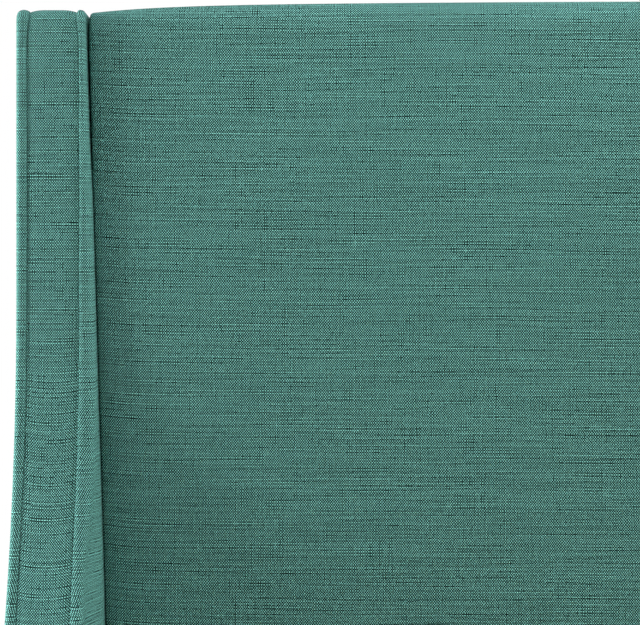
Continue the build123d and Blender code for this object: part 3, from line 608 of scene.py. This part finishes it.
# %% One wing
def build_wing(name, side):
    """A wing as three grids: its outer face, the band between the seams, and its inner face."""
    rim = wing_outline.ring(0.0)
    z = rim[:, 1]
    at_front = smooth((rim[:, 0] - 20 * mm) / (30 * mm)) * smooth((z - wing_bottom) / (30 * mm))
    at_top = smooth((z - (wing_top - 34 * mm)) / (30 * mm))
    travel = np.append(0.0, np.cumsum(np.linalg.norm(np.diff(rim, axis=0), axis=-1)))

    # the groove at the seams is deepest along the front, where it also puckers, and deeper high up
    fold = travel * at_front
    fold[-1] = fold[0]
    pucker = unevenness(0 * fold, fold, 11 + side, 0.05, 8)
    groove = seam_depth * (0.25 + 0.75 * at_front) + 0.25 * mm * pucker * at_front
    groove = groove + 0.8 * mm * at_front * smooth((z - deeper_groove) / 0.1)

    def seam_wander(seed):
        """A seam's small wander along the front edge."""
        return 0.3 * mm * at_front * unevenness(0 * fold, fold, seed + side, 0.3)

    outer_seam = wing_outside - 10.65 * mm - 2.4 * mm * at_top + seam_wander(21)
    inner_seam = wing_outside - 62.55 * mm + 2.8 * mm * at_top + seam_wander(31)
    inner_seam = inner_seam + (core_inside + 1.5 * mm - inner_seam) * timber_notch(rim)

    # how far the inner padding rises past its seam. By the panel's front it ends on the panel's side
    inner_roll = (6.9 + 6.6 * (1 - flared(z)) - 0.9 * smooth((z - wing_top + 90 * mm) / (50 * mm))) * mm
    shallow = 1 - smooth((rim[:, 0] - panel_front - 14 * mm) / (46 * mm))
    shallow = shallow * (1 - timber_notch(rim))
    crest = 0.48 * inner_roll
    inner_roll = inner_roll + (inner_seam - padded_face(z) - inner_roll) * shallow

    def place(rings, across):
        """Rings (depth, height) and their places across the bed, as points of this side's wing."""
        return joined(side * across, back_y - rings[..., 0], rings[..., 1])

    swell = 0.35 * mm

    # outer face: rings from the middle out to the roll, over the roll and into the seam
    shares = np.linspace(1, 0, 15) ** 1.2
    rings, reach = face_rings(wing_outline, outer_roll, shares)
    across = unevenness(rings[..., 0], rings[..., 1], 41 + side, 0.35) * smooth(reach / 0.05)
    across = wing_outside + swell * across
    roll = wing_outside - outer_seam
    cos, sin = (part[1:] for part in arc_points(8))
    over = wing_outside - 0.5 * roll * (1 - cos), outer_roll * (1 - sin) + 0 * z
    cos, sin = (part[1:] for part in arc_points(6))
    into = wing_outside - 0.5 * roll - 0.5 * roll * sin, groove * (1 - cos)
    insets = np.concatenate([over[1], into[1]])
    rings = np.concatenate([rings, wing_outline.ring(insets)])
    across = np.concatenate([across, over[0] + 0 * z, into[0] + 0 * z])
    outer_points = place(rings, across)
    flat = laid_flat(wing_outline, rings, outer_points, len(shares))
    outer_cloth = joined(back_y - flat[..., 0], flat[..., 1])

    # band: from the outer seam over a low crown to the inner seam
    width = outer_seam - inner_seam
    rise, plunge = 14 * mm, 1.6 * mm
    share = (0.5 - 0.5 * np.cos(np.linspace(0, math.pi, 25)))[:, None]
    from_seam = np.minimum(share, 1 - share) * width
    steep = np.sqrt(np.clip(1 - (1 - np.clip(from_seam / plunge, 0, 1)) ** 2, 0, 1))
    lift = 0.7 * (1 - (1 - np.clip(from_seam / rise, 0, 1)) ** 2) + 0.3 * steep
    rings = wing_outline.ring(groove - (groove - 0.3 * mm) * lift)
    across = outer_seam - share * width
    band_points = place(rings, across)
    bow = 3.0 * mm * smooth((bow_height - z) / 0.12) * at_front
    band_cloth = joined(share * width, travel + bow * 4 * share * (1 - share))

    # inner face: out of the seam, over the roll and on to the middle, where it clears the timber
    cos, sin = (part[::-1] for part in arc_points(6))
    up = inner_seam - crest * (1 - sin), groove * (1 - cos)
    cos, sin = (part[1:] for part in arc_points(11))
    drape = 12 * mm - 8.5 * mm * at_top
    over = inner_seam - crest - (inner_roll - crest) * sin, drape * (1 - cos)
    insets = np.concatenate([up[1] + 0 * z, over[1]])
    edge_rings = wing_outline.ring(insets)
    shares = np.linspace(0, 1, 37)[1:] ** 1.25
    rings, reach = face_rings(wing_outline, drape, shares)
    height = rings[..., 1]
    padding = padded_face(height)
    edge_x = inner_seam - inner_roll
    settled = shares[:, None] ** 3
    clear = rings[..., 0] - panel_front - 3 * mm
    span = np.clip(wing_edge(height, 0.0) - drape - panel_front, 7 * mm, 58 * mm)
    settle = smooth(np.maximum(np.maximum((reach - drape) / (58 * mm), 1 - clear / span), settled))
    across = edge_x + (padding - edge_x) * settle
    swelling = unevenness(rings[..., 0], height, 51 + side, 0.3) * smooth(np.maximum(reach / 0.08, settled))
    across = across + swell * swelling
    across = across + (np.maximum(across, padding) - across) * smooth(1 - clear / (4 * mm))
    rings = np.concatenate([edge_rings, rings])
    across = np.concatenate([up[0] + 0 * z, over[0], across])
    notch = timber_notch(rings)
    across = across + (core_inside + notch_clearance - across) * notch
    across[0] = inner_seam
    inner_points = place(rings, across)
    face_rows = len(rings) - len(edge_rings) + 1
    flat = laid_flat(wing_outline, rings[::-1], inner_points[::-1], face_rows)[::-1]
    inner_cloth = joined(back_y - flat[..., 0], flat[..., 1])

    patches = [(outer_points, outer_cloth), (band_points, band_cloth), (inner_points, inner_cloth)]
    return skin(name, patches, wing_linen)

# %% Both wings
for name, side in (("left", -1), ("right", 1)):
    wing = build_wing(f"{name}_wing_upholstery", side)
    parts = [f"{name}_wing_{part}" for part in (
        "front_band", "inner_cover", "inner_pad", "inner_roll", "outer_cover", "outer_pad", "outer_roll")]
    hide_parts(*parts)
    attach(wing, "bed_frame")
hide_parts("wing_front_pads")

# %% [markdown]
# ## The rails
#
# The rails are boards with foam on the outside, wrapped in cloth. The recipe for a padded slab makes
# them too, laid on its side: the long edges are the top and the bottom.

# %% A padded rail
def fuller_ends(rings, inset, share, span):
    """Rings stretched lengthwise about their middle, which leaves a share of the inset at the ends."""
    middle, half = (span[0] + span[1]) / 2, (span[1] - span[0]) / 2
    stretch = (half - share * inset) / (half - inset)
    return joined(rings[..., 0], middle + (rings[..., 1] - middle) * stretch)


def build_rail(name, span, thickness, seed, axis, ends):
    """A padded rail. span is its low and high end, thickness its inner and outer face, axis 0 or 1.

    ends holds how much of the edge's roundness is kept at the two ends, outside and inside.
    """
    low, high = span
    inner, outer = thickness
    way = 1 if outer > inner else -1
    step = 9 * mm
    outline = Outline(
        stations(long_edge=int((high - low) / step), corner=6, high_edge=24, low_edge=24),
        lambda z, inset: rail_top - inset + 0 * z, rail_low.z, low, high,
        low_corner=5 * mm, high_corner=5 * mm, spine=(rail_low.z + rail_top) / 2, spine_ends=130 * mm,
    )
    outer_edge, inner_edge, set_back = 15 * mm, 7 * mm, 1.0 * mm
    shares = np.linspace(1, 0, 12) ** 1.3
    rings, reach = face_rings(outline, outer_edge, shares)
    rings = fuller_ends(rings, outer_edge, ends[0], span)
    crown_out = 1.2 * mm * smooth((reach - outer_edge) / (90 * mm))
    wave = 0.5 * mm * unevenness(rings[..., 0], rings[..., 1], seed, 0.4) * smooth(reach / 0.06)
    rows, across = [rings], [outer + way * (crown_out + wave - set_back)]

    def add(rings, inset, share, place):
        """Add rings, fuller at the ends, at a place across the rail."""
        rows.append(fuller_ends(rings, inset, share, span))
        across.append(place + 0 * rings[..., 0])

    cos, sin = (part[1:] for part in arc_points(9))
    inset = outer_edge * (1 - sin)
    add(outline.ring(inset), inset, ends[0], outer - way * (set_back + outer_edge * (1 - cos)))
    cos, sin = (part[::-1] for part in arc_points(7))
    inset = inner_edge * (1 - sin)
    add(outline.ring(inset), inset, ends[1], inner + way * inner_edge * (1 - cos))
    add(face_rings(outline, inner_edge, np.linspace(0, 1, 8)[1:])[0], inner_edge, ends[1], inner)
    rings, across = np.concatenate(rows), np.concatenate(across)
    if axis == 1:
        points = joined(across, rings[..., 1], rings[..., 0])
    else:
        points = joined(rings[..., 1], across, rings[..., 0])
    cloth = laid_flat(outline, rings, points, len(shares))[..., ::-1]
    return skin(name, [(points, cloth)], rail_linen)

# %% The side rails and the foot rail
joint_gap = 0.3 * mm
side_span = (foot_high.y + joint_gap, rail_high.y - joint_gap)
rails = {
    side: build_rail(
        f"{side}_side_rail_upholstery", side_span, (way * rail_low.x, way * rail_high.x), seed, 1, (0.2, 0.3))
    for side, way, seed in (("left", -1, 61), ("right", 1, 62))
}
rails["foot"] = build_rail(
    "foot_rail_upholstery", (foot_low.x, foot_high.x), (foot_high.y, foot_low.y), 63, 0, (1.0, 0.3))
for side in ("left", "right"):
    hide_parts(f"{side}_side_rail_cover", f"{side}_side_rail_pad")
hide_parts("foot_rail_cover", "foot_rail_pad")
for rail in rails.values():
    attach(rail, "bed_frame")

# %% [markdown]
# ## The dust cloth and the slat straps
#
# A thin black cloth, stapled round its edge, closes the back of the headboard, and sags in a little
# where there is no timber behind it. Two webbing straps under the slats keep their spacing. A sheet
# is one layer of points that gets its thickness from a Solidify modifier. The staples are one small
# shape of fourteen faces, copied by arithmetic to all of their places.

# %% Black cloth and webbing
def dust_cloth_finish():
    """Thin black felted cloth: faint fibres and a slightly uneven blackness."""
    s = Shader("dust_cloth")
    fibres = s.noise(s.vector(s.x, s.y), 900.0, 2.0)
    cloudy = s.noise(s.vector(s.x, s.y), 14.0, 3.0)
    shade = s.scaled(fibres, 0.9, s.scaled(cloudy, 0.5, 0.3))
    s.set(Base_Color=s.brighten((0.030, 0.030, 0.032), shade), Roughness=0.95, Specular_IOR_Level=0.15)
    return s.bump(fibres, 0.3 * mm, 0.5)


def webbing_finish():
    """Black webbing: fine ribs across the strap, each made of short floats of the long yarns."""
    s = Shader("strap_webbing")
    rib = s.math("SINE", s.times(s.y, 2 * math.pi / (2.4 * mm)))
    yarn = s.math("SINE", s.times(s.x, 2 * math.pi / (1.6 * mm)))
    weave = s.times(rib, yarn)
    fuzz = s.noise(s.vector(s.x, s.y), 600.0, 2.0)
    shade = s.scaled(weave, 0.35, s.scaled(fuzz, 0.6, 0.7))
    s.set(Base_Color=s.brighten((0.050, 0.050, 0.054), shade), Roughness=0.75, Specular_IOR_Level=0.3)
    return s.bump(weave, 0.35 * mm, 0.6)

# %% The dust cloth
def thin_sheet(name, points, cloth, material, thickness):
    """One layer of cloth through a grid of points, thickened equally to both sides."""
    piece = skin(name, [(points, cloth)], material)
    solid = piece.modifiers.new("thickness", "SOLIDIFY")
    solid.thickness = thickness
    solid.offset = 0.0
    return piece


dust_low, dust_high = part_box("headboard_back_cover")
dust_thickness = 0.8 * mm
dust_middle = (dust_low.y + dust_high.y) / 2
cloth_edge = 1.2 * mm


def between(value, low, high, ease):
    """1 between low and high, easing to 0 at both, over a distance."""
    return smooth((value - low) / ease) * smooth((high - value) / ease)


stile_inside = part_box("right_headboard_stile")[0].x
rail_edges = [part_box(f"headboard_{part}_rail") for part in ("bottom", "middle", "top")]
across = np.linspace(dust_low.x + cloth_edge, dust_high.x - cloth_edge, 140)[None, :]
height = np.linspace(dust_low.z + cloth_edge, dust_high.z - cloth_edge, 110)[:, None]
opening = sum(
    between(height, under[1].z, over[0].z, 0.14) for under, over in zip(rail_edges[:-1], rail_edges[1:])
) * between(across, -stile_inside, stile_inside, 0.22)
sag = opening * (4.0 * mm + 0.9 * mm * unevenness(across, 0.35 * height, 71, 0.22))
dust_points = joined(across, dust_middle - sag, height)
dust_cloth = thin_sheet(
    "headboard_dust_cloth", dust_points, joined(across, height), dust_cloth_finish(), dust_thickness)
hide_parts("headboard_back_cover")
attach(dust_cloth, "bed_frame")

# %% The slat straps
strap_low, strap_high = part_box("slat_straps")
slats_low, slats_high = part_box("slats")
slat_count = 14
slat_width = 75 * mm
slat_middles = np.linspace(slats_low.y + slat_width / 2, slats_high.y - slat_width / 2, slat_count)
strap_width = 30 * mm
strap_middle = strap_high.x - strap_width / 2
strap_thickness = 1.2 * mm
strap_sag = 2.0 * mm
webbing = webbing_finish()
straps = {}
for name, side in (("left", -1), ("right", 1)):
    run = np.linspace(strap_low.y, strap_high.y, 420)[:, None]
    width = np.linspace(-strap_width / 2, strap_width / 2, 7)[None, :]
    off_slat = np.abs(run - slat_middles).min(axis=1, keepdims=True) - slat_width / 2
    gap = slat_middles[1] - slat_middles[0] - slat_width
    drop = strap_sag * np.sin(math.pi / 2 * np.clip(off_slat / (gap / 2), 0, 1)) ** 2
    below = slats_low.z - 0.1 * mm - strap_thickness / 2 - drop
    points = joined(side * strap_middle + width, run, below)
    straps[name] = thin_sheet(
        f"{name}_slat_strap", points, joined(width, run), webbing, strap_thickness)
    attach(straps[name], "bed_frame")
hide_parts("slat_straps")

# %% Metal, and staples made of it
def metal_finish(name, colour, roughness, metallic, mottle):
    """Metal whose brightness and roughness vary a little, with patches of a size in metres."""
    s = Shader(name, "Object")
    patches = s.noise(s.place, 1 / mottle, 3.0)
    fine = s.noise(s.place, 2500.0, 1.0)
    shade = s.scaled(patches, 0.5, 0.75)
    uneven_gloss = s.scaled(patches, 0.24, roughness - 0.12)
    s.set(Base_Color=s.brighten(colour, shade), Metallic=metallic, Roughness=uneven_gloss)
    return s.bump(fine, 0.05 * mm, 0.5)


def staples(name, places, along, out, material):
    """Many staples as one mesh: a flat bar with its ends bent down, at each place, along and facing out."""
    bar = np.array([(-6, -0.3), (-5.6, 0.35), (5.6, 0.35), (6, -0.3)]) * mm
    wire = np.array([(-0.5, -0.2), (0.5, -0.2), (0.5, 0.2), (-0.5, 0.2)]) * mm
    side = np.cross(out, along)
    lengths = np.repeat(bar[:, 0], 4)
    widths = np.tile(wire[:, 0], 4)
    rises = np.repeat(bar[:, 1], 4) + np.tile(wire[:, 1], 4)
    corners = (
        places[:, None] + lengths[:, None] * along[:, None]
        + widths[:, None] * side[:, None] + rises[:, None] * out[:, None]
    )
    ring = np.arange(4)
    after = (ring + 1) % 4
    walls = [joined(k + ring, k + after, k + 4 + after, k + 4 + ring) for k in (0, 4, 8)]
    ends = np.array([[3, 2, 1, 0], [12, 13, 14, 15]])
    faces = np.concatenate([*walls, ends])
    faces = (faces + 16 * np.arange(len(places))[:, None, None]).reshape(-1, 4)
    mesh = bpy.data.meshes.new(name)
    mesh.from_pydata(corners.reshape(-1, 3).tolist(), [], faces.tolist())
    piece = add_piece(name, mesh, material)
    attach(piece, "bed_frame")
    print(f"{name}: {len(places)} staples")
    return piece

# %% Staples round the dust cloth
staple_steel = metal_finish("staple_steel", (0.55, 0.55, 0.56), 0.35, 1.0, 20 * mm)
staple_step = 32 * mm
from_edge = 9 * mm
reach_x = dust_high.x - cloth_edge - from_edge
mid_z = (dust_low.z + dust_high.z) / 2
reach_z = dust_high.z - cloth_edge - from_edge - mid_z
places, along = [], []
for x_way, half, other in ((True, reach_x, reach_z), (False, reach_z, reach_x)):
    spots = np.linspace(-half, half, int(2 * half / staple_step))[1:-1]
    for sign in (-1, 1):
        a, b = (spots, sign * other + 0 * spots) if x_way else (sign * other + 0 * spots, spots)
        places.append(joined(a, 0 * a + dust_middle + dust_thickness / 2, mid_z + b))
        along.append(np.tile((1.0, 0.0, 0.0) if x_way else (0.0, 0.0, 1.0), (len(spots), 1)))
places, along = np.concatenate(places), np.concatenate(along)
tilt = np.random.default_rng(5).normal(0, 0.06, len(places))
across_way = np.cross(np.tile((0.0, 1.0, 0.0), (len(places), 1)), along)
along = along * np.cos(tilt)[:, None] + across_way * np.sin(tilt)[:, None]
staples("dust_cloth_staples", places, along, np.tile((0.0, 1.0, 0.0), (len(places), 1)), staple_steel)

# %% Staples in the straps
spots_x = np.array([side * strap_middle + shift for side in (-1, 1) for shift in (-7 * mm, 7 * mm)])
grid_x, grid_y = np.meshgrid(spots_x, slat_middles)
places = joined(grid_x.ravel(), grid_y.ravel(), slats_low.z - 0.1 * mm - strap_thickness)
places = places[(places[:, 1] > strap_low.y) & (places[:, 1] < strap_high.y)]
staples("slat_strap_staples", places, np.tile((0.0, 1.0, 0.0), (len(places), 1)),
        np.tile((0.0, 0.0, -1.0), (len(places), 1)), staple_steel)

# %% [markdown]
# ## Finishes for the bare parts
#
# Timber, steel and plastic keep the frame's own shapes and only need a finish. Wood is drawn from
# inside the board: growth rings are thin shells in the log, and a board shows them as stripes along
# its length. Noise that is stretched along the grain bends the rings, and that makes the flames and
# the odd knot. Plywood adds its layers, stacked through its thickness, so they show on its edges.

# %% Wood
def grain_axes(s, along):
    """The place along the grain, and the two places across it."""
    run = {"x": s.x, "y": s.y, "z": s.z}[along]
    across, deep = [place for axis, place in (("x", s.x), ("y", s.y), ("z", s.z)) if axis != along]
    return run, across, deep


def wood(s, along, pale, dark, ring_spacing, flame, pores):
    """Colour and pore height of sawn wood."""
    run, across, deep = grain_axes(s, along)

    def drawn_out(lengthwise, sideways, detail):
        """Noise about 0.5 whose patches have their own size along and across the grain."""
        place = s.vector(s.times(run, lengthwise), s.times(across, sideways), s.times(deep, sideways))
        return s.noise(place, 1.0, detail)

    bend = drawn_out(1.4, 9.0, 2.0)
    knot = s.ramp(drawn_out(3.1, 17.0, 0.0), 0.74, 0.84)
    depth = s.scaled(across, 0.4, deep)
    rings = s.scaled(bend, flame, s.math("DIVIDE", depth, ring_spacing))
    years = s.noise(s.vector(s.times(rings, 0.45), s.times(run, 0.5), bend), 1.0, 1.0)
    rings = s.scaled(years, 4.0, rings)
    rings = s.scaled(knot, 2.0, rings)
    part = s.math("FRACT", rings)
    late = s.times(s.ramp(part, 0.45, 0.8), s.ramp(part, 1.0, 0.88))
    fibres = drawn_out(14.0, 800.0, 2.0)
    colour = s.mix(s.times(late, 0.55), pale, dark)
    colour = s.mix(knot, colour, tuple(0.45 * part for part in dark))
    shade = s.centred(bend, 0.25, s.centred(fibres, pores, 1.0))
    return s.brighten(colour, shade), fibres

# %% Pine, plywood and the stained feet
def pine_finish(along):
    """Planed pine, unvarnished."""
    s = Shader(f"pine_along_{along}", "Object")
    colour, fibres = wood(s, along, (0.61, 0.425, 0.235), (0.43, 0.255, 0.115), 4.5 * mm, 9.0, 0.35)
    s.set(Base_Color=colour, Roughness=0.68, Specular_IOR_Level=0.35)
    return s.bump(fibres, 0.12 * mm, 0.6)


def plywood_finish(name, through, face, thickness):
    """Plywood with upright face grain. through is its thickness' axis, and face the place of one face."""
    s = Shader(name, "Object")
    colour, fibres = wood(s, "z", (0.62, 0.45, 0.27), (0.50, 0.33, 0.17), 16 * mm, 6.0, 0.3)
    layers = 2 * round(thickness / (3.2 * mm) / 2)
    place = s.x if through == "x" else s.y
    turn = s.times(s.math("SUBTRACT", place, face), 2 * math.pi * layers / 2 / thickness)
    end_grain = s.ramp(s.math("COSINE", turn), 0.15, -0.15)
    colour = s.mix(s.times(end_grain, 0.6), colour, (0.26, 0.15, 0.07))
    s.set(Base_Color=colour, Roughness=0.62, Specular_IOR_Level=0.35)
    return s.bump(fibres, 0.1 * mm, 0.5)


def foot_finish():
    """Stained wood under satin lacquer, its upright grain only just showing."""
    s = Shader("stained_feet", "Object")
    colour, fibres = wood(s, "z", (0.022, 0.0125, 0.0085), (0.010, 0.0055, 0.0040), 5 * mm, 7.0, 0.5)
    s.set(Base_Color=colour, Roughness=0.42, Coat_Weight=0.5, Coat_Roughness=0.22)
    return s.bump(fibres, 0.08 * mm, 0.5)

# %% Plastic, and a way to dress parts
def plastic_finish():
    """Moulded black plastic with a fine matte skin."""
    s = Shader("moulded_plastic", "Object")
    skin_texture = s.noise(s.place, 1800.0, 2.0)
    shade = s.scaled(s.noise(s.place, 60.0, 2.0), 0.5, 0.75)
    s.set(Base_Color=s.brighten((0.012, 0.012, 0.013), shade), Roughness=0.5)
    return s.bump(skin_texture, 0.06 * mm, 0.5)


def dress(material, names):
    """Give frame parts a finish."""
    for name in names:
        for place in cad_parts[name].material_slots:
            place.material = material


# %% Who gets which finish
dress(pine_finish("x"), [
    "foot_rail_board", "headboard_bottom_rail", "headboard_middle_rail", "headboard_top_rail", "slats"])
dress(pine_finish("y"), ["centre_beam", "left_side_rail_board", "right_side_rail_board", "slat_ledgers"])
dress(pine_finish("z"), ["centre_legs", "left_headboard_stile", "right_headboard_stile", "wing_posts"])
board_thickness = board_high.y - board_low.y
dress(plywood_finish("board_plywood", "y", board_low.y, board_thickness), ["headboard_backing_board"])
core_thickness = core_high.x - core_low.x
dress(plywood_finish("wing_plywood_right", "x", core_low.x, core_thickness), ["right_wing_core"])
dress(plywood_finish("wing_plywood_left", "x", -core_low.x, core_thickness), ["left_wing_core"])
dress(foot_finish(), ["feet"])
zinc = metal_finish("zinc_plate", (0.58, 0.60, 0.62), 0.36, 1.0, 6 * mm)
glides = [f"glide_stud_{number}" for number in (1, 2, 3)]
dress(zinc, ["foot_bolts", "leg_bolts", "leg_t_nuts", "wing_bolts", "wing_t_nuts", "wing_washers",
             "wood_screws", *glides])
black_coat = metal_finish("black_coat", (0.016, 0.016, 0.018), 0.5, 0.0, 30 * mm)
dress(black_coat, ["beam_hangers", "hook_plates", "ledger_brackets", "slot_plates"])
dress(plastic_finish(), [f"glide_pad_{number}" for number in (1, 2, 3)] + ["nail_glides"])
shown_plain = [name for name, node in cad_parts.items()
               if not node.hide_render and node.material_slots[0].material.name.startswith(name)]
print("parts without a finish:", shown_plain)

# %% [markdown]
# ## The studio
#
# The bed stands on a pale floor in soft light. Two lamps, one far out on each side, graze the
# headboard, so that it darkens softly beside each wing and the weave stands out. A smaller one above
# it lights the top more than the bottom, and one beyond the foot is there for the foot rail. The
# camera and reflections see plain white all round, but only a little of it lights the bed.

# %% A soft lamp
def soft_lamp(name, place, target, size, power):
    """A square lamp at a place, turned to face a target."""
    data = bpy.data.lights.new(name, "AREA")
    data.shape = "SQUARE"
    data.size = size
    data.energy = power
    lamp = bpy.data.objects.new(name, data)
    lamp.location = place
    direction = [t - p for t, p in zip(target, place)]
    lamp.rotation_euler = Vector(direction).to_track_quat("-Z", "Y").to_euler()
    lamp.visible_camera = False
    bpy.context.scene.collection.objects.link(lamp)
    return lamp

# %% White surroundings
def seen_directly(tree):
    """1 for rays from the camera, in a mirror or through glass, and 0 for the rays that light the bed."""
    path = tree.nodes.new("ShaderNodeLightPath")
    seen = path.outputs["Is Camera Ray"]
    for kind in ("Is Glossy Ray", "Is Transmission Ray"):
        larger = tree.nodes.new("ShaderNodeMath")
        larger.operation = "MAXIMUM"
        tree.links.new(seen, larger.inputs[0])
        tree.links.new(path.outputs[kind], larger.inputs[1])
        seen = larger.outputs[0]
    return seen


def blend(tree, amount, first, second, end):
    """Mix two shaders by an amount, and send the result to the output of a name."""
    mix = tree.nodes.new("ShaderNodeMixShader")
    for socket, value in zip(mix.inputs, (amount, first.outputs[0], second.outputs[0])):
        tree.links.new(value, socket)
    tree.links.new(mix.outputs[0], tree.nodes[end].inputs["Surface"])


def white_surroundings(fill):
    """The world: plain white to look at, and a soft grey fill as light."""
    world = bpy.data.worlds.new("studio")
    world.use_nodes = True
    tree = world.node_tree
    light, white = tree.nodes["Background"], tree.nodes.new("ShaderNodeBackground")
    for node, strength in ((light, fill), (white, 1.0)):
        node.inputs["Color"].default_value = (1.0, 1.0, 1.0, 1.0)
        node.inputs["Strength"].default_value = strength
    blend(tree, seen_directly(tree), light, white, "World Output")
    bpy.context.scene.world = world

# %% The floor
def pale_floor():
    """A matte floor that fades into the white surroundings a few metres from the bed."""
    s = Shader("studio_floor", "Object")
    from_bed = s.math("POWER", s.math("ADD", s.math("POWER", s.x, 2.0), s.math("POWER", s.y, 2.0)), 0.5)
    far = s.ramp(from_bed, 1.5, 3.0)
    s.set(Base_Color=(0.82, 0.82, 0.81), Roughness=0.9)
    white = s.tree.nodes.new("ShaderNodeEmission")
    white.inputs["Strength"].default_value = 1.0
    blend(s.tree, s.times(far, seen_directly(s.tree)), s.surface, white, "Material Output")
    mesh = bpy.data.meshes.new("floor")
    half = 30.0
    corners = [(-half, -half, 0), (half, -half, 0), (half, half, 0), (-half, half, 0)]
    mesh.from_pydata(corners, [], [(0, 1, 2, 3)])
    floor = add_piece("floor", mesh, s.material)

# %% Light for the bed
white_surroundings(fill=0.15)
pale_floor()
headboard_middle = (-0.3, 1.0, 1.15)
soft_lamp("left_lamp", (-3.3, 0.85, 1.4), headboard_middle, 1.0, 140.0)
soft_lamp("right_lamp", (4.1, 0.4, 1.8), headboard_middle, 1.0, 93.0)
soft_lamp("top_lamp", (0.0, 0.2, 2.6), (0.0, 1.0, 1.0), 1.0, 25.0)
foot_lamp = soft_lamp("foot_lamp", (0.0, -2.6, 1.9), (0.0, -1.1, 0.25), 1.4, 13.0)
foot_lamp.data.spread = math.radians(60)

# %% The camera
camera_data = bpy.data.cameras.new("camera")
camera_data.lens = 101.25
camera_data.sensor_width = 36.0
camera_distance = 1.8
camera = bpy.data.objects.new("camera", camera_data)
camera.location = (-0.548, face_low.y - camera_distance, 1.107)
camera.rotation_euler = (math.radians(90), 0.0, 0.0)
bpy.context.scene.collection.objects.link(camera)
bpy.context.scene.camera = camera
bpy.context.scene.view_settings.view_transform = "Standard"
